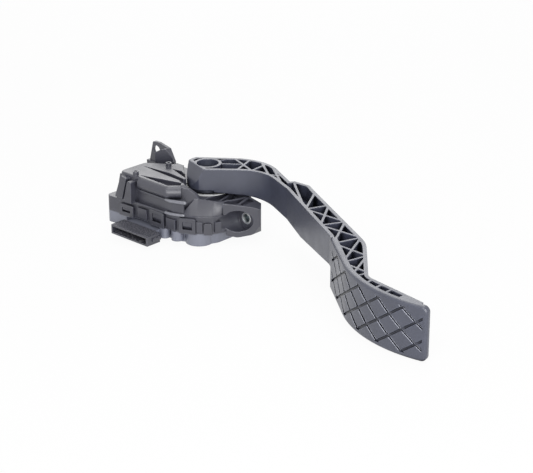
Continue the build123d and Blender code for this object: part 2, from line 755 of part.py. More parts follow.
def bar(start, end, level, behind):
    """Ridge on the driver's face: a flat bar in plan, standing proud of the wall behind it."""
    a, b = Vector(*start), Vector(*end)
    along = (b - a).normalized()
    out = Vector(along.Y, -along.X)
    corners = [a + out * RIDGE_PROUD, b + out * RIDGE_PROUD, b - out * behind, a - out * behind]
    return prism([(p.X, p.Y) for p in corners], level - RIDGE, level)


def sweep_sector(low, high):
    """Sector under the arm that stays clear of it over its travel."""
    reach = 2 * SWEEP_R
    middle = (SWEEP_START + SWEEP_END) / 2
    corners = [(0, 0)] + [tuple(heading(a) * reach)[:2] for a in (SWEEP_START, middle, SWEEP_END)]
    return prism(corners, low, high) & post(0, 0, SWEEP_R, low, high)


def left_step(x, level):
    """Room over the lower left end of the band."""
    return block((BAND[0][0] - 1, x), (BAND[0][1] - 1, BAND[-1][1] + 1), (level, 0))


def housing_shell():
    body = prism(BAND, PARTING, BAND_TOP) - left_step(STEP_X, BAND_STEP)
    body += prism(DECK, BAND_TOP, DECK_TOP)
    chamber = prism(CHAMBER, BAND_TOP, CHAMBER_TOP)
    chamber = fillet(chamber.faces().sort_by(Axis.Z)[-1].edges(), CHAMBER_EDGE_R)
    body += chamber + profile_xz(LEAN, *LEAN_Y)
    body += prism(TOWER, BAND_TOP, CHAMBER_TOP)
    right = BAND[4][0] + WALL
    body -= profile_xz([*RIM, (right, RIM[-1][1]), (right, 0), (RIM[0][0], 0)], CHAMBER[0][1], BAND[-1][1])
    apron = Pos(0, 0, BAND_TOP) * outline(APRON_FOOT), Pos(0, 0, FOOT_TOP) * outline(APRON_TOP)
    body += loft(apron, ruled=True)
    for start, end in zip(BULGE, BULGE[1:]):
        body += rod(start, end, BULGE_Z, BULGE_R)
    body += Pos(*BULGE[1], BULGE_Z) * Sphere(BULGE_R)
    for ends, face in ((PILASTER_1, PILASTER_1_FACE), (PILASTER_2, PILASTER_2_FACE)):
        body += profile_xz(ends, face, CHAMBER[0][1] + WALL)
    for ridge, top in ((UPPER_RIDGE, UPPER_RIDGE_TOP), (LOWER_RIDGE, LOWER_RIDGE_TOP)):
        for start, end in zip(ridge, ridge[1:]):
            body += bar(start, end, top, WALL)
    return body + block(*REAR_BLOCK)


def bearing_recess():
    """Round room for the hub, which leaves a thin rim along the slanting wall and the lower ear."""
    start, corner, end = TOWER[:3]
    before = (2 * start[0] - corner[0], 2 * start[1] - corner[1])
    far = BAND[-1][1] + RECESS_R
    limit = inset([before, corner[:2], end, (end[0], far), (before[0] - far, far)], RIM_WALL)
    room = post(RECESS_X, RECESS_Y, RECESS_R, RECESS_FLOOR, 0)
    room -= block((RECESS_LEFT - 2 * RECESS_R, RECESS_LEFT), (-2 * RECESS_R, far), (RECESS_FLOOR, 0))
    return (room & prism(limit, RECESS_FLOOR, 0)) + post(0, 0, HUB_ROOM_R, RECESS_FLOOR, 0)


def upper_ear():
    ear = profile_xz(EAR_OUTLINE, MOUNT_Y - EAR_PLATE, MOUNT_Y)
    ear -= rod_y(UPPER_BOLT_X, UPPER_BOLT_Z, UPPER_HOLE_R, MOUNT_Y - EAR_PLATE, MOUNT_Y)
    low = EAR_GUSSET_PROFILE[0][1]
    wall = Pos(0, 0, low) * extrude(strip(*EAR_GUSSET, EAR_GUSSET_WALL), -low)
    ear += wall & profile_xz(EAR_GUSSET_PROFILE, EAR_GUSSET[1][1] - EAR_GUSSET_WALL, MOUNT_Y)
    return ear + block(*EAR_FLANGE)


def lower_ear():
    low = min(c[1] for c in FOOT_PROFILE)
    ear = prism(FOOT_PLAN, low, FOOT_TOP) & profile_xz(FOOT_PROFILE, FOOT_PLAN[1][1] - 1, MOUNT_Y)
    return ear - prism(inset(BAND, -SLIDE_GAP), low, PARTING)


def foot_pocket():
    pocket = prism(inset(FOOT_PLAN, FOOT_WALL), FOOT_POCKET_FLOOR, 0)
    pocket &= block(FOOT_POCKET_X, (FOOT_PLAN[1][1], MOUNT_Y), (FOOT_POCKET_FLOOR, 0))
    pocket += block(*FOOT_WELL)
    for start, end in FOOT_RIBS:
        pocket -= Pos(0, 0, FOOT_WELL[2][0]) * extrude(strip(start, end, RIB), -FOOT_WELL[2][0])
    return pocket


def make_housing():
    body = housing_shell()
    # hollow underside and the bearing recess
    hollow = prism(inset(BAND, WALL), PARTING, BAND_TOP - WALL)
    hollow -= left_step(STEP_X + WALL, BAND_STEP - WALL)
    hollow += prism(inset(DECK, WALL), PARTING, CEILING) + post(0, 0, ROTOR_R + WALL, PARTING, CEILING)
    round_recess = post(RECESS_X, RECESS_Y, RECESS_R + WALL, PARTING, 0)
    hollow += prism(inset(CHAMBER, WALL), PARTING, CHAMBER_CEILING) - round_recess
    body -= hollow
    body += upper_ear() + (lower_ear() - hollow)
    # guides of the carriage, wall behind the springs, backing of the stops
    side = SLIDE_HALF + SLIDE_GAP
    stop = min(pressed_face(r)[1] for r in FULL_STOP_RADII) - SLIDE_GAP - STOP_PAD
    front = SPRING_WALL_Y - WALL
    left, right = SLIDER_X - side, SLIDER_X + side
    body -= block((left, right), (SPRING_WALL_Y, GUIDE_START), (PARTING, GUIDE_TOP + GUIDE_LIP_WALL))
    for inner, outer, y_end in ((left, left - GUIDE_WALL, GUIDE_START), (right, right + GUIDE_WALL, stop)):
        body += block((outer, inner), (front, y_end), (PARTING, CHAMBER_CEILING))
        lip = inner + math.copysign(GUIDE_LIP, SLIDER_X - inner)
        body += block((inner, lip), (SPRING_WALL_Y, y_end), (GUIDE_TOP, GUIDE_TOP + GUIDE_LIP_WALL))
        body += block((inner, lip), (SPRING_WALL_Y, y_end), (PARTING, GUIDE_BOTTOM))
    body += block((left, right), (front - WALL / 2, SPRING_WALL_Y), (PARTING, CEILING))
    low, high = LEVER_MID - STOP_PAD_HEIGHT / 2, LEVER_MID + STOP_PAD_HEIGHT / 2
    idle = LEVER_ROOT_HALF + SLIDE_GAP + STOP_PAD
    body += block(IDLE_STOP_X, (idle, DECK[-1][1] - WALL / 2), (low, CEILING))
    # bearing recess, room under the arm, pocket of the lower ear, bores
    body -= bearing_recess() + sweep_sector(RECESS_FLOOR - SLIDE_GAP, 0)
    body -= foot_pocket()
    body -= post(0, 0, BUSH_R + FIT, CEILING, RECESS_FLOOR)
    body -= rod_y(SLIDER_X, LEVER_MID, PEG_IN_SPRING_R + FIT, SPRING_WALL_Y - SEAT_STUB, SPRING_WALL_Y)
    body -= rod_y(LOWER_BOLT_X, LOWER_BOLT_Z, SLEEVE_R + FIT, MOUNT_Y - SLEEVE_LENGTH, MOUNT_Y)
    mouth = MOUNT_Y - SLEEVE_LENGTH
    depth = mouth - FOOT_PLAN[1][1]
    flare = Rot(90, 0, 0) * Cone(COUNTERBORE_R, COUNTERBORE_R + COUNTERBORE_FLARE, depth)
    body -= Pos(LOWER_BOLT_X, mouth - depth / 2, LOWER_BOLT_Z) * flare
    # pegs, grooves, catches and blocks on the outside
    for x, y in PEGS:
        body += post(x, y, PEG_R, CHAMBER_TOP - 1, CHAMBER_TOP + PEG)
        body -= post(x, y, PEG_HOLE_R, CHAMBER_TOP, CHAMBER_TOP + PEG)
    for corners in FAN:
        body -= prism(corners, CHAMBER_TOP - FAN_DEPTH, CHAMBER_TOP + PEG)
    for wall, distance, width in BLOCKS:
        half = width / 2
        body += wall_place(wall, distance) * block((-half, half), (-1, BLOCK_PROUD), (PARTING, BLOCK_TOP))
    for wall, distance, width, top in TABS[:TABS_WITH_WINDOW]:
        half = width / 2 - TAB_WINDOW_MARGIN - TAB_GAP
        high = top - TAB_WINDOW_MARGIN - TAB_GAP
        low = RIM_BOTTOM + TAB_WINDOW_FOOT + TAB_GAP
        nose = (low + high) / 2
        ramp = [(-1, high), (CATCH_PROUD, high), (CATCH_PROUD, nose), (TAB_GAP / 2, low), (-1, low)]
        catch = Pos(-half, 0, 0) * extrude(Plane.YZ * outline(ramp), 2 * half)
        body += wall_place(wall, distance) * catch
    return body


def make_sensor_cover():
    body = prism(BAND, RIM_BOTTOM, PARTING)
    tray = prism(inset(BAND, TRAY_STEP), COVER_BOTTOM, RIM_BOTTOM)
    left = block((BAND[0][0], LEFT_TRAY_X), (BAND[0][1], BAND[-1][1]), (LEFT_TRAY_BOTTOM, RIM_BOTTOM))
    body += tray + (prism(BAND, LEFT_TRAY_BOTTOM, RIM_BOTTOM) & left)
    for x, y, radius, low in COVER_LOBES:
        body += post(x, y, radius, low, RIM_BOTTOM)
    mouth, rear = PLUG_MOUTH_Y, BAND[1][1] + TRAY_INSET
    x_low, x_high = PLUG_CENTRE_X - PLUG_WIDTH / 2, PLUG_CENTRE_X + PLUG_WIDTH / 2
    plug_z = (PLUG_TOP - PLUG_HEIGHT, PLUG_TOP)
    body += block((x_low, x_high), (mouth, PLUG_BACK_Y), plug_z)
    body += block(PLUG_NECK_X, (PLUG_BACK_Y, rear), plug_z)
    # guide ribs along both sides of the plug
    rib_y = (PLUG_BACK_Y - PLUG_RIB_LENGTH, PLUG_BACK_Y)
    rib_z = (PLUG_TOP - PLUG_HEIGHT / 2 - PLUG_RIB, PLUG_TOP - PLUG_HEIGHT / 2 + PLUG_RIB)
    for side, out in ((x_low, -PLUG_RIB), (x_high, PLUG_RIB)):
        body += block((side, side + out), rib_y, rib_z)
    body -= prism(inset(BAND, TRAY_INSET), COVER_BOTTOM + COVER_FLOOR, PARTING)
    inside = [PLUG_TOP - PLUG_HEIGHT + PLUG_WALL, PLUG_TOP - PLUG_WALL]
    body -= block((x_low + PLUG_WALL, x_high - PLUG_WALL), (mouth, mouth + PLUG_DEPTH), inside)
    # bearing boss, board posts, seal groove
    body += post(0, 0, LOWER_BOSS_R, COVER_BOTTOM, JOURNAL_END + LOWER_BUSH)
    body -= post(0, 0, LOWER_BUSH_R + FIT, JOURNAL_END - SLIDE_GAP, JOURNAL_END + LOWER_BUSH)
    for x, y in BOARD_SCREWS:
        body += post(x, y, BOARD_POST_R, COVER_BOTTOM, BOARD_TOP - BOARD)
        body -= post(x, y, BOARD_SCREW_R + FIT, BOARD_TOP - BOARD_SCREW_LENGTH - 1, BOARD_TOP - BOARD)
    for x in pin_places():
        half = PIN / 2 + FIT
        body -= block((x - half, x + half), (mouth + PLUG_DEPTH, PIN_BEND_Y), (PIN_Z - half, PIN_Z + half))
    for i, (wall, distance, width, top) in enumerate(TABS):
        half = width / 2
        foot = [(-half, RIM_BOTTOM), (half, RIM_BOTTOM)]
        corners = foot + [(half, top, TAB_RADIUS), (-half, top, TAB_RADIUS)]
        tab = profile_xz(corners, TAB_GAP, TAB_FACE)
        tab += block((-half, half), (-1, TAB_GAP + 1), (RIM_BOTTOM, PARTING))
        if i < TABS_WITH_WINDOW:
            side = half - TAB_WINDOW_MARGIN
            window = (RIM_BOTTOM + TAB_WINDOW_FOOT, top - TAB_WINDOW_MARGIN)
            tab -= block((-side, side), (TAB_GAP, TAB_FACE), window)
        body += wall_place(wall, distance) * tab
    return body - seal_ring(0)


def seal_ring(gap):
    ring = outline(inset(BAND, SEAL_EDGE + gap)) - outline(inset(BAND, SEAL_EDGE + SEAL_WIDTH - gap))
    return Pos(0, 0, PARTING - SEAL) * extrude(ring, SEAL)


def pin_places():
    return [PLUG_CENTRE_X + (i - (PIN_COUNT - 1) / 2) * PIN_PITCH for i in range(PIN_COUNT)]


def make_connector_pins():
    pins = []
    half = PIN / 2
    for x in pin_places():
        pin = block((x - half, x + half), (PIN_TIP_Y, PIN_BEND_Y + half), (PIN_Z - half, PIN_Z + half))
        leg = (PIN_BEND_Y - half, PIN_BEND_Y + half)
        pins.append(pin + block((x - half, x + half), leg, (PIN_Z - half, PIN_TOP)))
    return pins


def make_sensor_board():
    board = prism(inset(BAND, TRAY_INSET + BOARD_GAP), BOARD_TOP - BOARD, BOARD_TOP)
    board -= post(0, 0, BOARD_HOLE_R, BOARD_TOP - BOARD, BOARD_TOP)
    for x, y in BOARD_SCREWS:
        board -= post(x, y, BOARD_SCREW_R + FIT, BOARD_TOP - BOARD, BOARD_TOP)
    half = PIN / 2 + FIT
    leg = (PIN_BEND_Y - half, PIN_BEND_Y + half)
    for x in pin_places():
        board -= block((x - half, x + half), leg, (BOARD_TOP - BOARD, BOARD_TOP))
    return board


def make_sensor_chips():
    x, y, z = CHIP
    return [Pos(cx, cy, BOARD_TOP + z / 2) * Box(x, y, z) for cx, cy in CHIPS]


def make_board_screws():
    screws = []
    for x, y in BOARD_SCREWS:
        head = post(x, y, BOARD_SCREW_HEAD_R, BOARD_TOP, BOARD_TOP + BOARD_SCREW_HEAD)
        screws.append(head + post(x, y, BOARD_SCREW_R, BOARD_TOP - BOARD_SCREW_LENGTH, BOARD_TOP))
    return screws


def make_lower_sleeve():
    start = MOUNT_Y - SLEEVE_LENGTH
    sleeve = rod_y(LOWER_BOLT_X, LOWER_BOLT_Z, SLEEVE_R, start, MOUNT_Y)
    return sleeve - rod_y(LOWER_BOLT_X, LOWER_BOLT_Z, SLEEVE_BORE_R, start, MOUNT_Y)


def make_upper_bush():
    bush = post(0, 0, BUSH_R, CEILING, RECESS_FLOOR)
    bush += post(0, 0, BUSH_FLANGE_R, RECESS_FLOOR, RECESS_FLOOR + BUSH_FLANGE)
    return bush - post(0, 0, SHAFT_R + RUN_GAP, CEILING, RECESS_FLOOR + BUSH_FLANGE)


def make_lower_bush():
    top = JOURNAL_END + LOWER_BUSH
    bush = post(0, 0, LOWER_BUSH_R, JOURNAL_END - SLIDE_GAP, top)
    return bush - post(0, 0, JOURNAL_R + RUN_GAP, JOURNAL_END - SLIDE_GAP, top)


def make_friction_slider():
    low, high = LEVER_MID - SLIDER_HALF_HEIGHT, LEVER_MID + SLIDER_HALF_HEIGHT
    body = block((SLIDER_X - SLIDER_HALF, SLIDER_X + SLIDER_HALF), (SLIDER_BACK, SLIDER_FACE), (low, high))
    body -= rod_y(SLIDER_X, LEVER_MID, CUP_R, SLIDER_BACK, SLIDER_BACK + CUP_DEPTH)
    floor = SLIDER_BACK + CUP_DEPTH
    body += rod_y(SLIDER_X, LEVER_MID, PEG_IN_SPRING_R, floor - PEG_IN_SPRING, floor)
    for pad in friction_pad_blocks(FIT):
        body -= pad
    return body


def friction_pad_blocks(gap):
    middle = (SLIDER_FACE + SLIDER_BACK) / 2
    y = (middle - PAD_LENGTH / 2 - gap, middle + PAD_LENGTH / 2 + gap)
    z = (LEVER_MID - PAD_HEIGHT / 2 - gap, LEVER_MID + PAD_HEIGHT / 2 + gap)
    outer = SLIDER_HALF + PAD_PROUD
    inner = outer - PAD_THICK
    return [block((SLIDER_X + s * inner, SLIDER_X + s * outer), y, z) for s in (-1, 1)]


def make_spring_seat():
    seat = rod_y(SLIDER_X, LEVER_MID, SEAT_R, SPRING_WALL_Y, SPRING_WALL_Y + SEAT)
    end = SPRING_WALL_Y + SEAT + PEG_IN_SPRING
    return seat + rod_y(SLIDER_X, LEVER_MID, PEG_IN_SPRING_R, SPRING_WALL_Y - SEAT_STUB, end)


def coil(radius, wire, turns, hand):
    """Return spring between the fixed seat and the carriage, along Y, drawn with flat sides."""
    start, end = SPRING_WALL_Y + SEAT + wire + FIT, SLIDER_BACK + CUP_DEPTH - wire - FIT
    steps = int(turns * COIL_STEPS)
    sections = []
    for i in range(steps + 1):
        turned = hand * 2 * math.pi * i / COIL_STEPS
        out = Vector(math.cos(turned), 0, math.sin(turned))
        along = Vector(-math.sin(turned), 0, math.cos(turned)) * hand * (2 * math.pi * radius)
        along += Vector(0, (end - start) / turns, 0)
        centre = Vector(SLIDER_X, start + (end - start) * i / steps, LEVER_MID) + out * radius
        sections.append(Plane(origin=centre, x_dir=out, z_dir=along) * RegularPolygon(wire, COIL_SIDES))
    return loft(sections, ruled=True)


def make_idle_stop_buffer():
    front = lever_half(-IDLE_STOP_X[1]) + SLIDE_GAP
    low, high = LEVER_MID - STOP_PAD_HEIGHT / 2, LEVER_MID + STOP_PAD_HEIGHT / 2
    return block(IDLE_STOP_X, (front, LEVER_ROOT_HALF + SLIDE_GAP + STOP_PAD), (low, high))


def make_full_stop_buffer():
    right = SLIDER_X + SLIDE_HALF + SLIDE_GAP
    front = min(pressed_face(r)[1] for r in FULL_STOP_RADII) - SLIDE_GAP
    low, high = LEVER_MID - STOP_PAD_HEIGHT / 2, LEVER_MID + STOP_PAD_HEIGHT / 2
    return block((right, right + GUIDE_WALL), (front - STOP_PAD, front), (low, high))


def save(name, shape):
    pieces = shape if isinstance(shape, list) else [shape]
    moved = [Pos(-LOWER_BOLT_X, -MOUNT_Y, -LOWER_BOLT_Z) * p for p in pieces]
    export_step(Compound(children=moved) if len(moved) > 1 else moved[0], f"parts/{name}.step")


os.makedirs("parts", exist_ok=True)
save("pedal_arm", make_pedal_arm())
save("pivot_lever", make_pivot_lever())
save("arm_screw", make_arm_screw())
save("thrust_washer", make_thrust_washer())
save("sensor_rotor", make_sensor_rotor())
save("rotor_target", make_rotor_target())
save("housing", make_housing())
save("sensor_cover", make_sensor_cover())
save("cover_seal", seal_ring(FIT))
save("connector_pins", make_connector_pins())
save("sensor_board", make_sensor_board())
save("sensor_chips", make_sensor_chips())
save("board_screws", make_board_screws())
save("lower_sleeve", make_lower_sleeve())
save("upper_bush", make_upper_bush())
save("lower_bush", make_lower_bush())
save("friction_slider", make_friction_slider())
save("friction_pads", friction_pad_blocks(0))
save("spring_seat", make_spring_seat())
save("outer_spring", coil(SPRING_R, SPRING_WIRE_R, SPRING_TURNS, 1))
save("inner_spring", coil(INNER_R, INNER_WIRE_R, INNER_TURNS, -1))
save("idle_stop_buffer", make_idle_stop_buffer())
save("full_stop_buffer", make_full_stop_buffer())
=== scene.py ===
# %% [markdown]
# # An accelerator pedal in black moulded plastic
# The real pedal hangs from two bolts in the footwell. A truss arm turns on a shaft in a closed
# housing, two nested springs push it back, and a sensor under the shaft reads its angle.
# The solid parts come from CAD in their true sizes and places. This lesson gives them their
# finishes, winds the springs, and lights the pedal as a product photograph would.

# %% Load the parts
import math
import bpy
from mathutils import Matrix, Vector


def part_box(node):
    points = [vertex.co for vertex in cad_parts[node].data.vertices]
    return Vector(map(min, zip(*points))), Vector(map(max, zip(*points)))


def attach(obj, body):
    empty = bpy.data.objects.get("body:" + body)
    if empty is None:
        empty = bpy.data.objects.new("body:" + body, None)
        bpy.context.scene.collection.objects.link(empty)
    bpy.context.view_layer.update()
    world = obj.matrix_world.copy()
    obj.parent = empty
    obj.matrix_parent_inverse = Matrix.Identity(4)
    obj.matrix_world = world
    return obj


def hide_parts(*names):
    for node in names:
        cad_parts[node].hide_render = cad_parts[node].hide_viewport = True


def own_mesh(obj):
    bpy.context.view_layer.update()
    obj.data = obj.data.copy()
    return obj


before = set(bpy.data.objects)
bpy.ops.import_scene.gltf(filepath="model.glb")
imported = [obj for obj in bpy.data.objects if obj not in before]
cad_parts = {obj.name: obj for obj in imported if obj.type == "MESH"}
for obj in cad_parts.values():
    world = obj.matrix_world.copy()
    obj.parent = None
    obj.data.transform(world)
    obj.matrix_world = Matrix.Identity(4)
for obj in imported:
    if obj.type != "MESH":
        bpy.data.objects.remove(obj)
scene = bpy.context.scene
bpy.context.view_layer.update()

# %% [markdown]
# ## Camera
# A long lens from a little over a metre away keeps the arm and the housing in proportion, as a
# product photographer would. The camera stands in front of the pedal and to its right, looking
# down a little. It is placed first, so that every later step can be judged in the final picture.

# %% Place the camera
VIEW_AZIMUTH, VIEW_ELEVATION = math.radians(43.0), math.radians(22.5)
CAMERA_PLACE = (0.80026, -0.84555, 0.46503)
SENSOR_WIDTH, FOCAL_PIXELS, PICTURE_PIXELS = 36.0, 1700, 533
back = Vector((
    math.sin(VIEW_AZIMUTH) * math.cos(VIEW_ELEVATION),
    -math.cos(VIEW_AZIMUTH) * math.cos(VIEW_ELEVATION),
    math.sin(VIEW_ELEVATION),
))
camera = bpy.data.objects.new("camera", bpy.data.cameras.new("camera"))
scene.collection.objects.link(camera)
camera.data.sensor_width = SENSOR_WIDTH
camera.data.lens = SENSOR_WIDTH * FOCAL_PIXELS / PICTURE_PIXELS
camera.location = CAMERA_PLACE
camera.rotation_mode = "QUATERNION"
camera.rotation_quaternion = (-back).to_track_quat("-Z", "Y")
scene.camera = camera
print("camera at", tuple(round(x, 3) for x in camera.location), "lens", round(camera.data.lens, 1))

# %% [markdown]
# ## Helpers for node trees
# Every finish below is a small network of shader nodes. Four helpers keep the cells short: one adds
# a node and sets its values, one turns a range of a value into a mask, one starts a node group with
# named sockets, so that an effect is built once, and one uses such a group in a material.

# %% Define the node helpers
def add_node(tree, kind, label="", **settings):
    node = tree.nodes.new(kind)
    node.label = label
    for name, value in settings.items():
        setattr(node, name, value)
    return node


def ramp(tree, label, value, start, end):
    """Mask that is zero where the value is at the start of a range and one where it is at the end."""
    node = add_node(tree, "ShaderNodeMapRange", label)
    node.inputs["From Min"].default_value = start
    node.inputs["From Max"].default_value = end
    tree.links.new(value, node.inputs["Value"])
    return node.outputs["Result"]


def start_group(name, inputs, outputs):
    """Shader group with float or vector sockets, given as (name, socket type, default value)."""
    tree = bpy.data.node_groups.new(name, "ShaderNodeTree")
    for direction, sockets in (("INPUT", inputs), ("OUTPUT", outputs)):
        for label, kind, value in sockets:
            socket = tree.interface.new_socket(label, in_out=direction, socket_type=kind)
            if value is not None:
                socket.default_value = value
    return tree, tree.nodes.new("NodeGroupInput"), tree.nodes.new("NodeGroupOutput")


def use_group(tree, group, **values):
    node = tree.nodes.new("ShaderNodeGroup")
    node.node_tree = group
    node.label = group.name
    for name, value in values.items():
        node.inputs[name].default_value = value
    return node


print("helpers ready")

# %% [markdown]
# ## Floor
# The pedal lies on a white sweep. It rests on the edge of the sensor cover and on the lower edge
# of the tread, so the floor is laid through those two places and leans a few degrees. A level floor
# would leave a gap under one of them.

# %% Lay the floor
REST_RIGHT, TREAD_EDGE = -0.010, -0.003
FLOOR_HALF, FLOOR_GAP = 4.0, 0.0004
cover_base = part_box("sensor_cover")[0].z
arm_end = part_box("pedal_arm")[1].x
lean = math.atan2(TREAD_EDGE - cover_base, arm_end - REST_RIGHT)
mesh = bpy.data.meshes.new("floor")
corners = []
for x, y in ((-1, -1), (1, -1), (1, 1), (-1, 1)):
    height = cover_base - FLOOR_GAP + math.tan(lean) * (x * FLOOR_HALF - REST_RIGHT)
    corners.append((x * FLOOR_HALF, y * FLOOR_HALF, height))
mesh.from_pydata(corners, [], [(0, 1, 2, 3)])
floor = bpy.data.objects.new("floor", mesh)
scene.collection.objects.link(floor)
print("floor leans", round(math.degrees(lean), 2), "degrees")

# %% [markdown]
# A white floor that is only lit would come out grey beside the lamps, so for the camera and in
# reflections it also glows, and the shadow stays as a soft tint. From underneath it is left clear.
# The Light Path node tells which kind of ray arrives. The room takes the same helper later.

# %% Paint the floor
def looked_at(tree):
    """One where the camera, a reflection or glass looks, zero for light that falls on the pedal."""
    path = add_node(tree, "ShaderNodeLightPath")
    mirrored = add_node(tree, "ShaderNodeMath", "seen or mirrored", operation="MAXIMUM")
    through = add_node(tree, "ShaderNodeMath", "or through glass", operation="MAXIMUM")
    tree.links.new(path.outputs["Is Camera Ray"], mirrored.inputs[0])
    tree.links.new(path.outputs["Is Glossy Ray"], mirrored.inputs[1])
    tree.links.new(mirrored.outputs[0], through.inputs[0])
    tree.links.new(path.outputs["Is Transmission Ray"], through.inputs[1])
    return through.outputs[0]


FLOOR_GLOW, WHITE_PAINT = 0.94, (0.93, 0.93, 0.93, 1)
sweep = bpy.data.materials.new("white_sweep")
sweep.use_nodes = True
tree = sweep.node_tree
tree.nodes.clear()
paint = add_node(tree, "ShaderNodeBsdfDiffuse", "matt white paint")
paint.inputs["Color"].default_value = WHITE_PAINT
glow = add_node(tree, "ShaderNodeEmission", "white for the camera")
glow.inputs["Strength"].default_value = 1.0
clear = add_node(tree, "ShaderNodeBsdfTransparent", "clear from below")
path = add_node(tree, "ShaderNodeLightPath")
side = add_node(tree, "ShaderNodeNewGeometry")
share = add_node(tree, "ShaderNodeMath", "share of the glow", operation="MULTIPLY")
share.inputs[1].default_value = FLOOR_GLOW
under = add_node(tree, "ShaderNodeMath", "camera below the floor", operation="MULTIPLY")
lit = add_node(tree, "ShaderNodeMixShader")
shown = add_node(tree, "ShaderNodeMixShader")
out = add_node(tree, "ShaderNodeOutputMaterial")
tree.links.new(looked_at(tree), share.inputs[0])
tree.links.new(path.outputs["Is Camera Ray"], under.inputs[0])
tree.links.new(side.outputs["Backfacing"], under.inputs[1])
tree.links.new(share.outputs[0], lit.inputs["Fac"])
tree.links.new(paint.outputs[0], lit.inputs[1])
tree.links.new(glow.outputs[0], lit.inputs[2])
tree.links.new(under.outputs[0], shown.inputs["Fac"])
tree.links.new(lit.outputs[0], shown.inputs[1])
tree.links.new(clear.outputs[0], shown.inputs[2])
tree.links.new(shown.outputs[0], out.inputs["Surface"])
mesh.materials.append(sweep)
print("floor finish:", sweep.name)

# %% [markdown]
# ## Studio light
# The room itself is a soft fill. Where the camera or a reflection looks at the room it is plain
# white, which gives the clean background without any extra light on the pedal. One brightness for
# both would either flood the pedal or leave the background grey.

# %% Fill the room
ROOM_FILL = 0.22
world = bpy.data.worlds.new("studio")
scene.world = world
world.use_nodes = True
tree = world.node_tree
tree.nodes.clear()
level = add_node(tree, "ShaderNodeMapRange", "fill or white")
level.inputs["To Min"].default_value = ROOM_FILL
level.inputs["To Max"].default_value = 1.0
room = add_node(tree, "ShaderNodeBackground", "white room")
room.inputs["Color"].default_value = (1.0, 1.0, 1.0, 1)
out = add_node(tree, "ShaderNodeOutputWorld")
tree.links.new(looked_at(tree), level.inputs["Value"])
tree.links.new(level.outputs[0], room.inputs["Strength"])
tree.links.new(room.outputs[0], out.inputs["Surface"])
scene.view_settings.view_transform = "Standard"
print("room fill:", ROOM_FILL)

# %% [markdown]
# Black plastic shows its form by what it reflects. A wide lamp overhead draws the top faces, one
# behind puts a sheen on everything that faces up, a low one in front fills the driver's side, and a
# narrow one high in front draws the upper edges. Area lamps give soft shadows and wide reflections,
# where point lamps would leave hard shadows and small hot spots.

# %% Hang the lamps
MIDDLE = Vector((0.06, -0.05, 0.0))


def softbox(name, place, size, watts):
    """Area lamp that points at the middle of the pedal and isn't seen itself."""
    lamp = bpy.data.lights.new(name, "AREA")
    lamp.shape = "RECTANGLE"
    lamp.size, lamp.size_y = size
    lamp.energy = watts
    holder = bpy.data.objects.new(name, lamp)
    scene.collection.objects.link(holder)
    holder.location = place
    holder.rotation_mode = "QUATERNION"
    holder.rotation_quaternion = (MIDDLE - Vector(place)).to_track_quat("-Z", "Y")
    holder.visible_camera = False
    return holder


lamps = [
    softbox("lamp_overhead", (0.05, 0.05, 0.95), size=(0.7, 0.7), watts=3.2),
    softbox("lamp_behind", (-0.75, 0.85, 0.55), size=(1.3, 0.7), watts=5.0),
    softbox("lamp_front", (1.00, -0.80, 0.33), size=(1.3, 0.9), watts=16.5),
    softbox("lamp_high", (0.30, -0.80, 0.85), size=(0.5, 0.2), watts=2.2),
]
print("lamps:", [(lamp.name, lamp.data.energy) for lamp in lamps])

# %% [markdown]
# ## Soft edges
# No moulded edge is a knife edge: the tool leaves a small radius that catches the light as a thin
# line. A Bevel modifier would have to rebuild the CAD meshes. The Bevel shader node only bends the
# shading normal near an edge, so the shape stays exact. Comparing the bent normal with the true one
# also gives a mask of the edges, which later carries the handling wear and a painted edge highlight.

# %% Build the soft edge group
soft_edge, entry, result = start_group(
    "soft edge",
    [("Radius", "NodeSocketFloat", 0.0004)],
    [("Normal", "NodeSocketVector", None), ("Edge", "NodeSocketFloat", None)],
)
NOT_BENT, WELL_BENT = 0.995, 0.86
bevel = add_node(soft_edge, "ShaderNodeBevel", samples=6)
true = add_node(soft_edge, "ShaderNodeNewGeometry")
along = add_node(soft_edge, "ShaderNodeVectorMath", "cosine of the bend", operation="DOT_PRODUCT")
soft_edge.links.new(entry.outputs["Radius"], bevel.inputs["Radius"])
soft_edge.links.new(bevel.outputs["Normal"], along.inputs[0])
soft_edge.links.new(true.outputs["Normal"], along.inputs[1])
mask = ramp(soft_edge, "edge mask", along.outputs["Value"], NOT_BENT, WELL_BENT)
soft_edge.links.new(bevel.outputs["Normal"], result.inputs["Normal"])
soft_edge.links.new(mask, result.inputs["Edge"])
print("group:", soft_edge.name)

# %% [markdown]
# ## Moulded grain
# The mould is spark eroded, so the plastic takes a fine, even grain of about a fifth of a
# millimetre. The glass fibres in it also flow while it sets and leave wide, faint clouds that are a
# little lighter and glossier. Two noise textures at those two scales give a height for the bump, a
# tone for the colour and a gloss value.

# %% Build the moulded grain group
grain, entry, result = start_group(
    "moulded grain",
    [
        ("Vector", "NodeSocketVector", None),
        ("Grain", "NodeSocketFloat", 5000.0),
        ("Clouds", "NodeSocketFloat", 60.0),
    ],
    [
        ("Height", "NodeSocketFloat", None),
        ("Tone", "NodeSocketFloat", None),
        ("Gloss", "NodeSocketFloat", None),
    ],
)
CLOUD_LOW, CLOUD_HIGH, GRAIN_IN_GLOSS = 0.3, 0.7, 0.3
pits = add_node(grain, "ShaderNodeTexNoise", "spark erosion")
pits.inputs["Detail"].default_value = 2.0
clouds = add_node(grain, "ShaderNodeTexNoise", "fibre flow")
clouds.inputs["Detail"].default_value = 3.0
clouds.inputs["Roughness"].default_value = 0.6
spread = ramp(grain, "clouds over the whole range", clouds.outputs["Fac"], CLOUD_LOW, CLOUD_HIGH)
blend = add_node(grain, "ShaderNodeMix", "a little grain in the gloss")
blend.inputs["Factor"].default_value = GRAIN_IN_GLOSS
grain.links.new(entry.outputs["Vector"], pits.inputs["Vector"])
grain.links.new(entry.outputs["Vector"], clouds.inputs["Vector"])
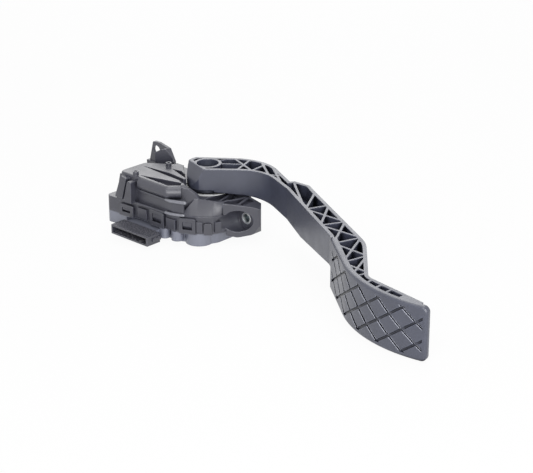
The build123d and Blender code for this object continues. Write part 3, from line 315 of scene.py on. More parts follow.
grain.links.new(entry.outputs["Grain"], pits.inputs["Scale"])
grain.links.new(entry.outputs["Clouds"], clouds.inputs["Scale"])
grain.links.new(spread, blend.inputs["A"])
grain.links.new(pits.outputs["Fac"], blend.inputs["B"])
grain.links.new(pits.outputs["Fac"], result.inputs["Height"])
grain.links.new(spread, result.inputs["Tone"])
grain.links.new(blend.outputs["Result"], result.inputs["Gloss"])
print("group:", grain.name)

# %% [markdown]
# ## Scuffed edges with painted highlights
# A part that has been handled is rubbed first along its edges. The paler colour there stands for
# that wear and also paints the highlight that an edge catches. The edge mask is broken up by a
# noise, so the scuffs come and go along an edge instead of drawing an outline round the part.

# %% Build the scuff group
scuff_highlight, entry, result = start_group(
    "scuffed edges with painted highlights",
    [
        ("Vector", "NodeSocketVector", None),
        ("Edge", "NodeSocketFloat", 0.0),
        ("Amount", "NodeSocketFloat", 0.5),
    ],
    [("Scuff Highlight", "NodeSocketFloat", None)],
)
PATCH_SCALE, PATCH_LOW, PATCH_HIGH = 140.0, 0.25, 0.60
patches = add_node(scuff_highlight, "ShaderNodeTexNoise", "scuff and highlight patches")
patches.inputs["Scale"].default_value = PATCH_SCALE
patches.inputs["Detail"].default_value = 4.0
rub = ramp(scuff_highlight, "only some patches", patches.outputs["Fac"], PATCH_LOW, PATCH_HIGH)
at_edge = add_node(scuff_highlight, "ShaderNodeMath", "on the edges", operation="MULTIPLY")
strength = add_node(scuff_highlight, "ShaderNodeMath", "how strong", operation="MULTIPLY")
scuff_highlight.links.new(entry.outputs["Vector"], patches.inputs["Vector"])
scuff_highlight.links.new(rub, at_edge.inputs[0])
scuff_highlight.links.new(entry.outputs["Edge"], at_edge.inputs[1])
scuff_highlight.links.new(at_edge.outputs[0], strength.inputs[0])
scuff_highlight.links.new(entry.outputs["Amount"], strength.inputs[1])
scuff_highlight.links.new(strength.outputs[0], result.inputs["Scuff Highlight"])
print("group:", scuff_highlight.name)

# %% [markdown]
# ## Painted shade in recesses
# Grooves, pockets and gaps are painted darker as shade, so they stay deeper black than the
# open faces. The Ambient Occlusion node measures how closed in a point is. Its value becomes a mask
# that is near one on open faces and falls to zero in a narrow place.

# %% Build the recess group
recess, entry, result = start_group(
    "painted recess shade",
    [
        ("Reach", "NodeSocketFloat", 0.004),
        ("Shut", "NodeSocketFloat", 0.36),
        ("Clear", "NodeSocketFloat", 0.86),
    ],
    [("Open", "NodeSocketFloat", None)],
)
closed_in = add_node(recess, "ShaderNodeAmbientOcclusion", "how closed in", samples=8)
openness = add_node(recess, "ShaderNodeMapRange", "recess mask")
recess.links.new(entry.outputs["Shut"], openness.inputs["From Min"])
recess.links.new(entry.outputs["Clear"], openness.inputs["From Max"])
recess.links.new(entry.outputs["Reach"], closed_in.inputs["Distance"])
recess.links.new(closed_in.outputs["AO"], openness.inputs["Value"])
recess.links.new(openness.outputs["Result"], result.inputs["Open"])
print("group:", recess.name)

# %% [markdown]
# ## Moulded plastics
# A finish is never one flat value. Three helpers vary it: one lightens or darkens a colour, one
# mixes two colours by a mask, and one spreads a mask over a range, such as from dull to glossy.
# Written out in every material, the same nodes would fill pages.

# %% Define the colour helpers
def shade(colour, factor):
    return (*[min(1.0, c * factor) for c in colour], 1.0)


def mix_colour(tree, label, factor, a, b):
    """Mix of two colours, each a value or an output socket, by a mask that varies by place."""
    node = add_node(tree, "ShaderNodeMix", label, data_type="RGBA")
    tree.links.new(factor, node.inputs[0])
    for socket, colour in ((node.inputs[6], a), (node.inputs[7], b)):
        if isinstance(colour, tuple):
            socket.default_value = colour
        else:
            tree.links.new(colour, socket)
    return node.outputs[2]


def vary(tree, label, value, low, high):
    """Value from 0 to 1 spread over a range."""
    node = add_node(tree, "ShaderNodeMapRange", label)
    node.inputs["To Min"].default_value = low
    node.inputs["To Max"].default_value = high
    tree.links.new(value, node.inputs["Value"])
    return node.outputs["Result"]


print("colour helpers ready")

# %% [markdown]
# One function builds all moulded finishes: base colour from the clouds and the scuffs, which also
# paint edge highlights, roughness from the gloss, and a normal that starts at the soft edge and then
# carries the grain. In a recess both the colour and the sheen are darkened as painted shade. A
# painted texture would need unwrapped meshes, while these nodes work from the place of each point.

# %% Define a moulded finish
EDGE_WEAR_HIGHLIGHT, RUBBED_GLOSS, GLOSS_SPREAD = 3.2, 0.6, 0.07
RECESS_SPAN, RECESS_SHEEN, GRAIN_STRENGTH = 0.5, 0.12, 0.35


def moulded(name, colour, rough, radius=0.0004, grain_size=5000.0, depth=0.00002, wear_and_highlight=0.5,
            cloud=0.10, recess_shade=0.22, shut=0.36, sheen=0.5):
    material = bpy.data.materials.new(name)
    material.use_nodes = True
    tree = material.node_tree
    surface = tree.nodes["Principled BSDF"]
    place = add_node(tree, "ShaderNodeTexCoord")
    edge = use_group(tree, soft_edge, Radius=radius)
    texture = use_group(tree, grain, Grain=grain_size)
    edge_wear_highlight = use_group(tree, scuff_highlight, Amount=wear_and_highlight)
    pocket = use_group(tree, recess, Shut=shut, Clear=RECESS_SPAN + shut)
    tree.links.new(place.outputs["Object"], texture.inputs["Vector"])
    tree.links.new(place.outputs["Object"], edge_wear_highlight.inputs["Vector"])
    tree.links.new(edge.outputs["Edge"], edge_wear_highlight.inputs["Edge"])
    dark, light = shade(colour, 1 - cloud), shade(colour, 1 + cloud)
    tone = mix_colour(tree, "flow clouds", texture.outputs["Tone"], dark, light)
    # Edges turn paler: partly scuffs, partly a painted highlight.
    scuffed_and_lit = mix_colour(tree, "scuffs and painted edge highlights", edge_wear_highlight.outputs["Scuff Highlight"], tone, shade(colour, EDGE_WEAR_HIGHLIGHT))
    # Recesses are darkened: painted shade.
    deep = mix_colour(tree, "recesses", pocket.outputs["Open"], shade(colour, recess_shade), scuffed_and_lit)
    tree.links.new(deep, surface.inputs["Base Color"])
    shine = vary(tree, "sheen", pocket.outputs["Open"], sheen * RECESS_SHEEN, sheen)
    tree.links.new(shine, surface.inputs["Specular IOR Level"])
    dull, glossy = rough + GLOSS_SPREAD, rough - GLOSS_SPREAD
    gloss = vary(tree, "gloss", texture.outputs["Gloss"], dull, glossy)
    smooth = add_node(tree, "ShaderNodeMix", "edges rubbed smooth")
    smooth.inputs["B"].default_value = rough * RUBBED_GLOSS
    tree.links.new(edge.outputs["Edge"], smooth.inputs["Factor"])
    tree.links.new(gloss, smooth.inputs["A"])
    tree.links.new(smooth.outputs["Result"], surface.inputs["Roughness"])
    bump = add_node(tree, "ShaderNodeBump", "grain")
    bump.inputs["Strength"].default_value = GRAIN_STRENGTH
    bump.inputs["Distance"].default_value = depth
    tree.links.new(texture.outputs["Height"], bump.inputs["Height"])
    tree.links.new(edge.outputs["Normal"], bump.inputs["Normal"])
    tree.links.new(bump.outputs["Normal"], surface.inputs["Normal"])
    return material


print("moulded finish ready")

# %% [markdown]
# Arm, housing and cover are black glass-filled nylon. Under studio light black plastic reads as a
# dark, slightly blue grey, so the colour is written that way. Pure black would hide the ribs and the
# grooves. Each moulding has its own edge radius and its own strength of painted shade in recesses.

# %% Mix the black plastics
SATIN = 0.85
arm_plastic = moulded("arm_plastic", (0.050, 0.055, 0.082), 0.36, radius=0.0008, wear_and_highlight=0.7,
                      recess_shade=0.20, shut=0.44, sheen=SATIN)
housing_plastic = moulded("housing_plastic", (0.043, 0.044, 0.060), 0.38, radius=0.0006, wear_and_highlight=0.8,
                          recess_shade=0.30, shut=0.18, sheen=SATIN)
cover_plastic = moulded("cover_plastic", (0.044, 0.045, 0.060), 0.36, radius=0.0005, wear_and_highlight=0.8,
                        recess_shade=0.25, shut=0.22, sheen=SATIN)
lever_plastic = moulded("glass_filled_lever", (0.16, 0.16, 0.155), 0.5, cloud=0.2)
print("plastics:", [m.name for m in (arm_plastic, housing_plastic, cover_plastic, lever_plastic)])

# %% [markdown]
# ## Painted light on the tray of the cover
# Below its clips the cover is a tray that sits low over the white floor. Its colour is painted
# paler, as painted light and reflection from the floor. A second material
# would need its own faces, so the change is painted by place: below the rim and behind the plug.
# Two helpers serve this and the next finishes: one multiplies masks, one paints a colour on top.

# %% Paint light on the tray
def both(tree, label, a, b):
    """Mask that holds only where two masks hold."""
    node = add_node(tree, "ShaderNodeMath", label, operation="MULTIPLY")
    tree.links.new(a, node.inputs[0])
    tree.links.new(b, node.inputs[1])
    return node.outputs[0]


def repaint(tree, label, mask, colour):
    """Paint a colour over the base colour of a finish where the mask is one."""
    base = tree.nodes["Principled BSDF"].inputs["Base Color"]
    tree.links.new(mix_colour(tree, label, mask, base.links[0].from_socket, colour), base)


TRAY_TOP, PLUG_BACK, FADE = -0.0083, -0.0545, 0.0006
TRAY_LIGHT_COLOUR = (0.19, 0.20, 0.25, 1.0)
cover_tree = cover_plastic.node_tree
cover_place = add_node(cover_tree, "ShaderNodeTexCoord")
axes = add_node(cover_tree, "ShaderNodeSeparateXYZ")
cover_tree.links.new(cover_place.outputs["Object"], axes.inputs[0])
below = ramp(cover_tree, "below the rim", axes.outputs["Z"], TRAY_TOP + FADE, TRAY_TOP - FADE)
behind = ramp(cover_tree, "behind the plug", axes.outputs["Y"], PLUG_BACK - FADE, PLUG_BACK + FADE)
# The tray is painted paler: painted light and reflection from the floor.
repaint(cover_tree, "painted floor light on the tray", both(cover_tree, "tray", below, behind), TRAY_LIGHT_COLOUR)
print("tray below", TRAY_TOP, "behind", PLUG_BACK)

# %% [markdown]
# ## Grained plug
# The plug in front of the tray comes from a third part of the mould with a coarse, sandy surface.
# Light grains stand out on its top, so a noise with hard limits picks single specks on what faces up
# in front of the tray. The specks stand for the sandy grains and also paint the glints they catch
# from above.

# %% Grain the plug
SAND_SCALE, SPECK_LIMITS, TOP_LIMITS = 1100.0, (0.54, 0.66), (0.5, 0.8)
GRAIN_GLINT_COLOUR = (0.32, 0.32, 0.35, 1.0)
sand = add_node(cover_tree, "ShaderNodeTexNoise", "coarse sand")
sand.inputs["Scale"].default_value = SAND_SCALE
sand.inputs["Detail"].default_value = 1.0
facing = add_node(cover_tree, "ShaderNodeNewGeometry")
tilt = add_node(cover_tree, "ShaderNodeSeparateXYZ")
ahead = add_node(cover_tree, "ShaderNodeMath", "in front of the tray", operation="SUBTRACT")
ahead.inputs[0].default_value = 1.0
cover_tree.links.new(cover_place.outputs["Object"], sand.inputs["Vector"])
cover_tree.links.new(facing.outputs["Normal"], tilt.inputs[0])
cover_tree.links.new(behind, ahead.inputs[1])
specks = ramp(cover_tree, "single grains", sand.outputs["Fac"], *SPECK_LIMITS)
upper = ramp(cover_tree, "faces up", tilt.outputs["Z"], *TOP_LIMITS)
on_top = both(cover_tree, "top of the plug", ahead.outputs[0], upper)
grit_and_glints = both(cover_tree, "grit and glints on the plug", specks, on_top)
# Light specks on the plug top: sandy grain, and painted glints on it.
repaint(cover_tree, "light grains and painted glints", grit_and_glints, GRAIN_GLINT_COLOUR)
print("plug grained in front of", PLUG_BACK)

# %% [markdown]
# ## Painted highlights on the groove lips
# One lip of each falling groove is painted paler as a highlight. The
# wide soft edge bends the normal there. Where it bends both along the tread and upwards, and only
# there, the colour is painted paler. A mask from the edge alone would mark both lips of every groove.

# %% Paint highlights on the groove lips
LIP_RADIUS, LIP_BEND = 0.0012, (0.03, 0.16)
LIP_HIGHLIGHT_COLOUR = (0.55, 0.57, 0.66, 1.0)
TREAD_RUN, UPWARDS = (0.85, -0.53, 0.0), (0.0, 0.0, 1.0)
arm_tree = arm_plastic.node_tree
wide = use_group(arm_tree, soft_edge, Radius=LIP_RADIUS)
flat = add_node(arm_tree, "ShaderNodeNewGeometry")
bend = add_node(arm_tree, "ShaderNodeVectorMath", "bend of the normal", operation="SUBTRACT")
local = add_node(arm_tree, "ShaderNodeVectorTransform", "turns with the arm",
                 vector_type="VECTOR", convert_from="WORLD", convert_to="OBJECT")
arm_tree.links.new(wide.outputs["Normal"], bend.inputs[0])
arm_tree.links.new(flat.outputs["Normal"], bend.inputs[1])
arm_tree.links.new(bend.outputs["Vector"], local.inputs["Vector"])
bent = []
for label, direction in (("along the tread", TREAD_RUN), ("upwards", UPWARDS)):
    share = add_node(arm_tree, "ShaderNodeVectorMath", label, operation="DOT_PRODUCT")
    share.inputs[1].default_value = direction
    arm_tree.links.new(local.outputs["Vector"], share.inputs[0])
    bent.append(ramp(arm_tree, label, share.outputs["Value"], *LIP_BEND))
# The lit lips are painted paler: a painted highlight.
repaint(arm_tree, "painted lip highlight", both(arm_tree, "lit lips", *bent), LIP_HIGHLIGHT_COLOUR)
print("lip highlights painted within", LIP_RADIUS)

# %% [markdown]
# ## Bearing, carriage and rubber
# The bushes and the carriage are low-friction plastics in pale greys, the wear pads are a brown
# friction lining, and stops and seal are matt black rubber. They take the same moulded finish with
# their own grain: coarse in the lining, almost none in the bearings.

# %% Make the inner plastics and the rubber
bush_plastic = moulded("bearing_plastic", (0.63, 0.64, 0.65), 0.38,
                       grain_size=9000.0, depth=0.000005, wear_and_highlight=0.1, cloud=0.05)
carriage_plastic = moulded("carriage_plastic", (0.56, 0.56, 0.53), 0.42,
                           grain_size=7000.0, depth=0.00001, wear_and_highlight=0.15, cloud=0.06)
friction_lining = moulded("friction_lining", (0.21, 0.165, 0.115), 0.78,
                          grain_size=2600.0, depth=0.00012, wear_and_highlight=0.3, cloud=0.3)
stop_rubber = moulded("stop_rubber", (0.028, 0.028, 0.029), 0.72, radius=0.0006,
                      grain_size=3500.0, depth=0.00004, wear_and_highlight=0.2, cloud=0.15)
chip_resin = moulded("chip_resin", (0.022, 0.022, 0.024), 0.55, radius=0.0001,
                     grain_size=9000.0, wear_and_highlight=0.1)
print("inner finishes ready")

# %% [markdown]
# ## Metals
# The fixing sleeve is turned and zinc plated: fine rings from the lathe under a pale bluish film
# with a faint crystal pattern. Spring wire is drawn and oil blackened, the rotor target is rolled
# sheet, and the pins are tinned. All are metals with a streak texture that is stretched along the
# direction in which the metal was worked.

# %% Define a worked metal
METAL_EDGE, METAL_REACH, CRYSTAL_SCALE = 0.00015, 0.003, 900.0
MARK_STRENGTH, MARK_DEPTH = 0.3, 0.00001
EDGE_HIGHLIGHT, POCKET_SHADE = 1.25, 0.16
STREAK_GLOSS, STREAK_DULL = 0.08, 0.10


def worked_metal(name, colour, rough, stretch, streaks, spangle=0.12):
    material = bpy.data.materials.new(name)
    material.use_nodes = True
    tree = material.node_tree
    surface = tree.nodes["Principled BSDF"]
    surface.inputs["Metallic"].default_value = 1.0
    place = add_node(tree, "ShaderNodeTexCoord")
    along = add_node(tree, "ShaderNodeMapping", "direction of work")
    along.inputs["Scale"].default_value = stretch
    lines = add_node(tree, "ShaderNodeTexNoise", "tool marks")
    lines.inputs["Scale"].default_value = streaks
    lines.inputs["Detail"].default_value = 3.0
    crystals = add_node(tree, "ShaderNodeTexVoronoi", "plating crystals")
    crystals.inputs["Scale"].default_value = CRYSTAL_SCALE
    edge = use_group(tree, soft_edge, Radius=METAL_EDGE)
    pocket = use_group(tree, recess, Reach=METAL_REACH, Shut=0.36, Clear=0.80)
    bump = add_node(tree, "ShaderNodeBump", "tool marks")
    bump.inputs["Strength"].default_value = MARK_STRENGTH
    bump.inputs["Distance"].default_value = MARK_DEPTH
    tree.links.new(place.outputs["Object"], along.inputs["Vector"])
    tree.links.new(along.outputs["Vector"], lines.inputs["Vector"])
    tree.links.new(place.outputs["Object"], crystals.inputs["Vector"])
    split = add_node(tree, "ShaderNodeSeparateColor", "one value per crystal")
    tree.links.new(crystals.outputs["Color"], split.inputs["Color"])
    dark, light = shade(colour, 1 - spangle), shade(colour, 1 + spangle)
    tone = mix_colour(tree, "crystals", split.outputs["Red"], dark, light)
    # Edges are painted paler as a highlight.
    bright = mix_colour(tree, "painted edge highlight", edge.outputs["Edge"], tone, shade(colour, EDGE_HIGHLIGHT))
    # Pockets are painted darker as shade.
    black = shade(colour, POCKET_SHADE)
    deep = mix_colour(tree, "painted pocket shade", pocket.outputs["Open"], black, bright)
    tree.links.new(deep, surface.inputs["Base Color"])
    glossy, dull = rough - STREAK_GLOSS, rough + STREAK_DULL
    gloss = vary(tree, "streaky gloss", lines.outputs["Fac"], glossy, dull)
    tree.links.new(gloss, surface.inputs["Roughness"])
    tree.links.new(lines.outputs["Fac"], bump.inputs["Height"])
    tree.links.new(edge.outputs["Normal"], bump.inputs["Normal"])
    tree.links.new(bump.outputs["Normal"], surface.inputs["Normal"])
    return material


TURNED, DRAWN = (0.15, 1.0, 0.15), (1.0, 1.0, 1.0)
ROLLED, PULLED = (0.05, 1.0, 1.0), (1.0, 0.08, 1.0)
zinc_steel = worked_metal("zinc_plated_steel", (0.78, 0.86, 0.89), 0.30, TURNED, 1800.0)
spring_wire = worked_metal("oiled_spring_wire", (0.30, 0.31, 0.33), 0.32, DRAWN, 900.0, spangle=0.05)
rolled_sheet = worked_metal("rolled_aluminium", (0.74, 0.74, 0.75), 0.3, ROLLED, 1500.0, spangle=0.03)
tinned_pins = worked_metal("tinned_pins", (0.72, 0.66, 0.50), 0.3, PULLED, 2200.0, spangle=0.06)
print("metals:", [m.name for m in (zinc_steel, spring_wire, rolled_sheet, tinned_pins)])

# %% [markdown]
# ## Painted shade in the bore of the sleeve
# The bolt sleeve is plated, and its narrow bore is painted dark as shade. The bore runs along Y
# through the origin, so the distance from that axis and the
# depth behind the mouth pick it out. A recess mask alone would leave the bore too bright.

# %% Darken the sleeve bore
BORE_WALL, BORE_DEPTH = (0.0036, 0.0033), (-0.0080, -0.0068)
BORE_SHADE_COLOUR = (0.09, 0.11, 0.125, 1.0)
sleeve_steel = worked_metal("plated_sleeve", (0.90, 0.98, 1.0), 0.34, TURNED, 1800.0)
tree = sleeve_steel.node_tree
place = add_node(tree, "ShaderNodeTexCoord")
across = add_node(tree, "ShaderNodeVectorMath", "across the axis", operation="MULTIPLY")
across.inputs[1].default_value = (1.0, 0.0, 1.0)
away = add_node(tree, "ShaderNodeVectorMath", "distance from the axis", operation="LENGTH")
axes = add_node(tree, "ShaderNodeSeparateXYZ")
tree.links.new(place.outputs["Object"], across.inputs[0])
tree.links.new(across.outputs["Vector"], away.inputs[0])
tree.links.new(place.outputs["Object"], axes.inputs[0])
inside = ramp(tree, "inside the bore", away.outputs["Value"], *BORE_WALL)
deep = ramp(tree, "behind the mouth", axes.outputs["Y"], *BORE_DEPTH)
# The bore wall is painted dark as shade.
repaint(tree, "painted shade on the bore wall", both(tree, "shaded bore", inside, deep), BORE_SHADE_COLOUR)
print("bore darkened in", sleeve_steel.name)

# %% [markdown]
# ## Circuit board
# The sensor board is glass cloth under green solder mask. Copper tracks show through as lighter
# bands. A brick pattern with long bricks stands in for the tracks, and a fine noise in the gloss for
# the weave. Real tracks as geometry would be wasted on a board that lies inside the housing.

# %% Make the solder mask
TRACK_SCALE, WEAVE_SCALE, CLOTH_GLOSS = 160.0, 2200.0, (0.22, 0.38)
board_mask = bpy.data.materials.new("solder_mask")
board_mask.use_nodes = True
tree = board_mask.node_tree
surface = tree.nodes["Principled BSDF"]
place = add_node(tree, "ShaderNodeTexCoord")
tracks = add_node(tree, "ShaderNodeTexBrick", "copper tracks")
tracks.inputs["Scale"].default_value = TRACK_SCALE
tracks.inputs["Brick Width"].default_value = 2.6
tracks.inputs["Row Height"].default_value = 0.28
tracks.inputs["Mortar Size"].default_value = 0.05
tracks.inputs["Color1"].default_value = (0.02, 0.16, 0.07, 1)
tracks.inputs["Color2"].default_value = (0.03, 0.19, 0.085, 1)
tracks.inputs["Mortar"].default_value = (0.06, 0.28, 0.13, 1)
weave = add_node(tree, "ShaderNodeTexNoise", "glass cloth")
weave.inputs["Scale"].default_value = WEAVE_SCALE
tree.links.new(place.outputs["Object"], tracks.inputs["Vector"])
tree.links.new(place.outputs["Object"], weave.inputs["Vector"])
tree.links.new(tracks.outputs["Color"], surface.inputs["Base Color"])
gloss = vary(tree, "cloth gloss", weave.outputs["Fac"], *CLOTH_GLOSS)
tree.links.new(gloss, surface.inputs["Roughness"])
print("board finish:", board_mask.name)

# %% [markdown]
# ## Finishes on the CAD parts
# Each CAD part keeps its mesh and gets the finish of its real material in its material slot. The
# parts could be dressed one by one, but a table from part to finish shows at a glance what is made
# of what, and a part without a finish stops the script.

# %% Assign the finishes
finish_of = {
    "pedal_arm": arm_plastic,
    "housing": housing_plastic,
    "sensor_cover": cover_plastic,
    "pivot_lever": lever_plastic,
    "sensor_rotor": lever_plastic,
    "spring_seat": housing_plastic,
    "friction_slider": carriage_plastic,
    "friction_pads": friction_lining,
    "upper_bush": bush_plastic,
    "lower_bush": bush_plastic,
    "idle_stop_buffer": stop_rubber,
    "full_stop_buffer": stop_rubber,
    "cover_seal": stop_rubber,
    "sensor_board": board_mask,
    "sensor_chips": chip_resin,
    "connector_pins": tinned_pins,
    "rotor_target": rolled_sheet,
    "lower_sleeve": sleeve_steel,
    "arm_screw": zinc_steel,
    "thrust_washer": zinc_steel,
    "board_screws": zinc_steel,
    "outer_spring": spring_wire,
    "inner_spring": spring_wire,
}
for name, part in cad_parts.items():
    for holder in part.material_slots:
        holder.material = finish_of[name]
print("finished parts:", len(finish_of))

# %% [markdown]
# ## Bead noses on the front wall
# Two ledges run along the front of the housing. Towards the bearing each ends in a rounded bead,
# whose colour is painted pale as a highlight. Each bead is a short round bar half sunk in its ledge.
# A curve with a bevel would leave flat ends, so the bar is written as rings of points round its path,
# with a few smaller rings at each end for the nose.

# %% Define a rounded bar
BAR_SIDES, NOSE_RINGS = 16, 5
UP = Vector((0, 0, 1))


def rounded_bar(name, path, radius):
    """Round bar along a path, closed by a half ball at each end."""
    path = [Vector(p) for p in path]
    noses, tips = [], []
    for end, inward in ((path[0], path[1]), (path[-1], path[-2])):
        outward = (end - inward).normalized()
        rings = []
        for k in range(NOSE_RINGS):
            tilt = math.pi / 2 * k / NOSE_RINGS
            rings.append((end + outward * radius * math.sin(tilt), radius * math.cos(tilt)))
        noses.append(rings)
        tips.append(end + outward * radius)
    rows = noses[0][::-1] + [(p, radius) for p in path[1:-1]] + noses[1]
    last = len(rows) - 1
    points, faces = [], []
    for i, (centre, size) in enumerate(rows):
        before, after = rows[max(i - 1, 0)][0], rows[min(i + 1, last)][0]
        side = (after - before).normalized().cross(UP).normalized()
        for k in range(BAR_SIDES):
            turn = math.tau * k / BAR_SIDES
            points.append(centre + (side * math.cos(turn) + UP * math.sin(turn)) * size)
        if i:
            a, b = (i - 1) * BAR_SIDES, i * BAR_SIDES
            for k in range(BAR_SIDES):
                after = (k + 1) % BAR_SIDES
                faces.append((a + k, b + k, b + after, a + after))
    for row, tip in zip((0, last), tips):
        points.append(tip)
        for k in range(BAR_SIDES):
            pair = (row * BAR_SIDES + k, row * BAR_SIDES + (k + 1) % BAR_SIDES)
            faces.append((*(pair if row == 0 else pair[::-1]), len(points) - 1))
    mesh = bpy.data.meshes.new(name)
    mesh.from_pydata(points, [], faces)
    mesh.polygons.foreach_set("use_smooth", [True] * len(mesh.polygons))
    bar = bpy.data.objects.new(name, mesh)
    scene.collection.objects.link(bar)
    return bar


BEAD_RADIUS = 0.00125
BEAD_PATHS = {
    "bead_upper": (
        (-0.0425, -0.0492, 0.0149), (-0.0377, -0.0492, 0.0149), (-0.0272, -0.0452, 0.0149)),
    "bead_lower": (
        (-0.0425, -0.0496, 0.0049), (-0.0380, -0.0494, 0.0049), (-0.0285, -0.0456, 0.0049)),
}
# The bead colour is painted pale as a highlight.
bead_highlight_plastic = moulded("bead_highlight_plastic", (0.20, 0.205, 0.235), 0.32, radius=0.0005, wear_and_highlight=0.6,
                         sheen=SATIN)
for name, path in BEAD_PATHS.items():
    bead = rounded_bar(name, path, BEAD_RADIUS)
    bead.data.materials.append(bead_highlight_plastic)
    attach(bead, "housing")
    print(name, "faces:", len(bead.data.polygons))

# %% [markdown]
# ## Hub ribs
# Two thin ribs tie the ring of the hub to the first crossing of the truss and to the rim behind it.
# Each is one section drawn along a line: wide at the foot, narrower towards the top as a mould needs
# it, with the upper corners taken off. Both ends are sunk in the walls that carry them. A plain box
# would be quicker to write, but no mould would let go of it.

# %% Mould the hub ribs
RIB_TOP, RIB_FOOT, RIB_CHAMFER = 0.0339, 0.0250, 0.0002
FOOT_HALF, NECK_HALF, TOP_HALF = 0.00075, 0.00055, 0.00035
right = [(FOOT_HALF, RIB_FOOT), (NECK_HALF, RIB_TOP - RIB_CHAMFER), (TOP_HALF, RIB_TOP)]
section = right + [(-side, z) for side, z in reversed(right)]
RIB_LINES = (((-0.0308, -0.0041), (-0.0176, 0.0062)), ((-0.0360, -0.0014), (-0.0334, 0.0082)))
points, faces = [], []
for start, end in RIB_LINES:
    run = (Vector(end) - Vector(start)).normalized()
    first, count = len(points), len(section)
    for x, y in (start, end):
        points += [(x - run.y * side, y + run.x * side, z) for side, z in section]
    for k in range(count):
        after = (k + 1) % count
        faces.append((first + after, first + count + after, first + count + k, first + k))
    faces.append(tuple(reversed(range(first, first + count))))
    faces.append(tuple(range(first + count, first + 2 * count)))
mesh = bpy.data.meshes.new("hub_ribs")
mesh.from_pydata(points, [], faces)
mesh.materials.append(arm_plastic)
hub_ribs = bpy.data.objects.new("hub_ribs", mesh)
scene.collection.objects.link(hub_ribs)
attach(hub_ribs, "pedal")
print("hub rib faces:", len(mesh.polygons))

# %% [markdown]
# ## Bearing ring
# A pale slip ring lies on the housing round the foot of the hub and keeps grit out of the bearing.
# From the front only its edge shows, as a light sliver in the dark gap under the arm. Its shape is a
# profile turned round the pivot, so it is written as rows of points, one row for each corner of the
# profile. Every eighth step is a little lower, which gives shallow oil grooves across the ring.
# A turned profile by a Screw modifier would have no grooves.

# %% Turn the bearing ring
RING_INNER, RING_OUTER, RING_HEIGHT = 0.0142, 0.0174, 0.0007
RING_CHAMFER, RING_STEPS = 0.0002, 96
GROOVE_DEPTH, GROOVE_EVERY = 0.0002, 8
BUSH_FLANGE = 0.0008
bush_low, bush_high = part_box("upper_bush")
pivot_x, pivot_y = (bush_low.x + bush_high.x) / 2, (bush_low.y + bush_high.y) / 2
seat = bush_high.z - BUSH_FLANGE
profile = (
    (RING_INNER, 0.0, 0.0),
    (RING_INNER, RING_HEIGHT - RING_CHAMFER, 0.0),
    (RING_INNER + RING_CHAMFER, RING_HEIGHT, 1.0),
    (RING_OUTER - RING_CHAMFER, RING_HEIGHT, 1.0),
    (RING_OUTER, RING_HEIGHT - RING_CHAMFER, 0.0),
    (RING_OUTER, 0.0, 0.0),
)
points, faces = [], []
for step in range(RING_STEPS):
    angle = math.tau * step / RING_STEPS
    drop = GROOVE_DEPTH if step % GROOVE_EVERY == 0 else 0.0
    for radius, height, grooved in profile:
        x, y = pivot_x + radius * math.cos(angle), pivot_y + radius * math.sin(angle)
        points.append((x, y, seat + (height - drop * grooved)))
    for corner in range(len(profile)):
        after = (corner + 1) % len(profile)
        here, there = step * len(profile), (step + 1) % RING_STEPS * len(profile)
        faces.append((here + corner, here + after, there + after, there + corner))
ring_mesh = bpy.data.meshes.new("bearing_ring")
ring_mesh.from_pydata(points, [], faces)
ring_mesh.materials.append(bush_plastic)
ring = bpy.data.objects.new("bearing_ring", ring_mesh)
scene.collection.objects.link(ring)
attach(ring, "housing")
print("bearing ring faces:", len(faces))

# %% [markdown]
# ## Return springs
# Two compression springs sit one inside the other, wound in opposite directions so that their coils
# cannot catch. A real spring has dead coils at both ends: there the wire closes on itself so that the
# end stands flat. A coil follows a rule, which makes it a task for Geometry Nodes: a line of points
# is bent into a helix whose height stays almost still at both ends, and a round wire is swept along.

# %% Start the coil spring tree
coil = bpy.data.node_groups.new("coil spring", "GeometryNodeTree")
coil_inputs = {}
for label, kind, value in (
    ("Length", "NodeSocketFloat", 0.02),
    ("Coil Radius", "NodeSocketFloat", 0.005),
    ("Wire Radius", "NodeSocketFloat", 0.0008),
    ("Turns", "NodeSocketFloat", 6.0),
    ("Hand", "NodeSocketFloat", 1.0),
    ("Finish", "NodeSocketMaterial", None),
):
    socket = coil.interface.new_socket(label, in_out="INPUT", socket_type=kind)
    if value is not None:
        socket.default_value = value
    coil_inputs[label] = socket.identifier
coil.interface.new_socket("Geometry", in_out="OUTPUT", socket_type="NodeSocketGeometry")
entry, result = coil.nodes.new("NodeGroupInput"), coil.nodes.new("NodeGroupOutput")


def calculate(operation, a, b=None):
    """Sum on numbers or sockets in the coil tree."""
    node = add_node(coil, "ShaderNodeMath", operation=operation)
    for socket, value in zip(node.inputs, (a, b)):
        if isinstance(value, (int, float)):
            socket.default_value = value
        elif value is not None:
            coil.links.new(value, socket)
    return node.outputs[0]


print("tree:", coil.name, "inputs:", list(coil_inputs))

# %% [markdown]
# A point at the share t of the wire turns round the axis by t times all turns. Its height grows in
# three stretches: over the dead coil at the start it rises by a little more than the wire is thick,
# over the open coils by what is left of the length, and over the dead coil at the end by as much as
# at the start. With one even slope the ends would not stand flat.

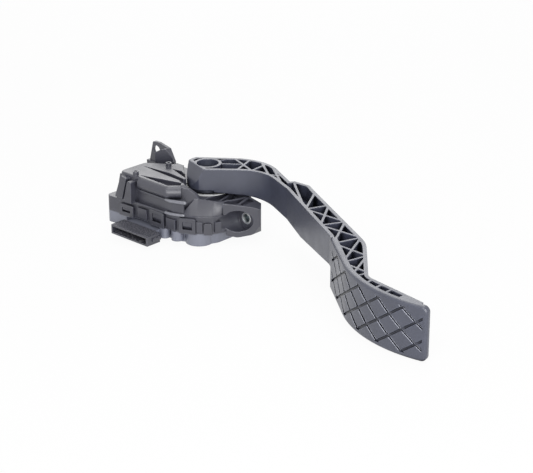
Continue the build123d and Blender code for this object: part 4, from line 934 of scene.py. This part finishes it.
# %% Place the points of the coil
WIRE_STEPS, DEAD_TURNS, CLOSED_PITCH = 360, 0.9, 2.1
coil_radius, wire_size = entry.outputs["Coil Radius"], entry.outputs["Wire Radius"]
turn_count = entry.outputs["Turns"]
line = add_node(coil, "GeometryNodeMeshLine", "points along the wire")
line.inputs["Count"].default_value = WIRE_STEPS
index = add_node(coil, "GeometryNodeInputIndex")
t = calculate("DIVIDE", index.outputs[0], WIRE_STEPS - 1)
angle = calculate("MULTIPLY", calculate("MULTIPLY", t, turn_count), math.tau)
x = calculate("MULTIPLY", calculate("COSINE", angle), coil_radius)
z = calculate("MULTIPLY", calculate("SINE", angle), coil_radius)
z = calculate("MULTIPLY", z, entry.outputs["Hand"])
rise = add_node(coil, "ShaderNodeMapRange", "dead coils at both ends")
dead = calculate("DIVIDE", DEAD_TURNS, turn_count)
coil.links.new(t, rise.inputs["Value"])
coil.links.new(dead, rise.inputs["From Min"])
coil.links.new(calculate("SUBTRACT", 1.0, dead), rise.inputs["From Max"])
closed = calculate("MULTIPLY", wire_size, CLOSED_PITCH)
lead = calculate("MULTIPLY", calculate("MINIMUM", calculate("DIVIDE", t, dead), 1.0), closed)
tail_t = calculate("DIVIDE", calculate("SUBTRACT", 1.0, t), dead)
tail = calculate("MULTIPLY", calculate("MINIMUM", tail_t, 1.0), closed)
free = calculate("SUBTRACT", entry.outputs["Length"], calculate("MULTIPLY", wire_size, 2.0))
open_part = calculate("SUBTRACT", free, calculate("MULTIPLY", closed, 2.0))
y = calculate("MULTIPLY", rise.outputs["Result"], open_part)
y = calculate("ADD", y, calculate("ADD", lead, calculate("SUBTRACT", closed, tail)))
y = calculate("ADD", y, wire_size)
print("points along the wire:", WIRE_STEPS)

# %% [markdown]
# The line of points is bent to those places, becomes a curve, and a small circle is swept along it.
# A circle of ten sides with smooth shading reads as round at this size.

# %% Sweep the wire
WIRE_SIDES = 10
place = add_node(coil, "ShaderNodeCombineXYZ")
for socket, value in zip(place.inputs, (x, y, z)):
    coil.links.new(value, socket)
bend = add_node(coil, "GeometryNodeSetPosition", "bend the line into a coil")
to_curve = add_node(coil, "GeometryNodeMeshToCurve")
wire = add_node(coil, "GeometryNodeCurvePrimitiveCircle", "round wire")
wire.inputs["Resolution"].default_value = WIRE_SIDES
sweep_wire = add_node(coil, "GeometryNodeCurveToMesh", "sweep the wire")
sweep_wire.inputs["Fill Caps"].default_value = True
smooth = add_node(coil, "GeometryNodeSetShadeSmooth")
realize = add_node(coil, "GeometryNodeRealizeInstances")
finish = add_node(coil, "GeometryNodeSetMaterial")
coil.links.new(line.outputs["Mesh"], bend.inputs["Geometry"])
coil.links.new(place.outputs[0], bend.inputs["Position"])
coil.links.new(bend.outputs[0], to_curve.inputs["Mesh"])
coil.links.new(to_curve.outputs[0], sweep_wire.inputs["Curve"])
coil.links.new(wire_size, wire.inputs["Radius"])
coil.links.new(wire.outputs["Curve"], sweep_wire.inputs["Profile Curve"])
coil.links.new(sweep_wire.outputs[0], smooth.inputs["Geometry"])
coil.links.new(smooth.outputs[0], realize.inputs["Geometry"])
coil.links.new(realize.outputs[0], finish.inputs["Geometry"])
coil.links.new(entry.outputs["Finish"], finish.inputs["Material"])
coil.links.new(finish.outputs[0], result.inputs["Geometry"])
print("nodes in the tree:", len(coil.nodes))

# %% [markdown]
# The two springs take their length and place from the CAD parts that they stand for. The fixed end
# stays on its seat in the housing, and the whole spring is carried by the housing.

# %% Wind the two springs
SPRINGS = (("outer_spring", 0.0008, 6.5, 1.0), ("inner_spring", 0.0006, 8.5, -1.0))
for name, wire_radius, turns, hand in SPRINGS:
    low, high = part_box(name)
    length = high.y - low.y
    holder = bpy.data.objects.new(name + "_wire", bpy.data.meshes.new(name + "_wire"))
    scene.collection.objects.link(holder)
    maker = holder.modifiers.new("coil", "NODES")
    maker.node_group = coil
    values = {
        "Length": length,
        "Coil Radius": (high.x - low.x) / 2 - wire_radius,
        "Wire Radius": wire_radius,
        "Turns": turns,
        "Hand": hand,
        "Finish": spring_wire,
    }
    for label, value in values.items():
        maker[coil_inputs[label]] = value
    made = holder.evaluated_get(bpy.context.evaluated_depsgraph_get())
    wound = bpy.data.meshes.new_from_object(made)
    holder.modifiers.remove(maker)
    holder.data = wound
    centre = (low + high) / 2
    for vertex in wound.vertices:
        vertex.co += Vector((centre.x, low.y, centre.z))
    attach(holder, "housing")
    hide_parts(name)
    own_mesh(holder)
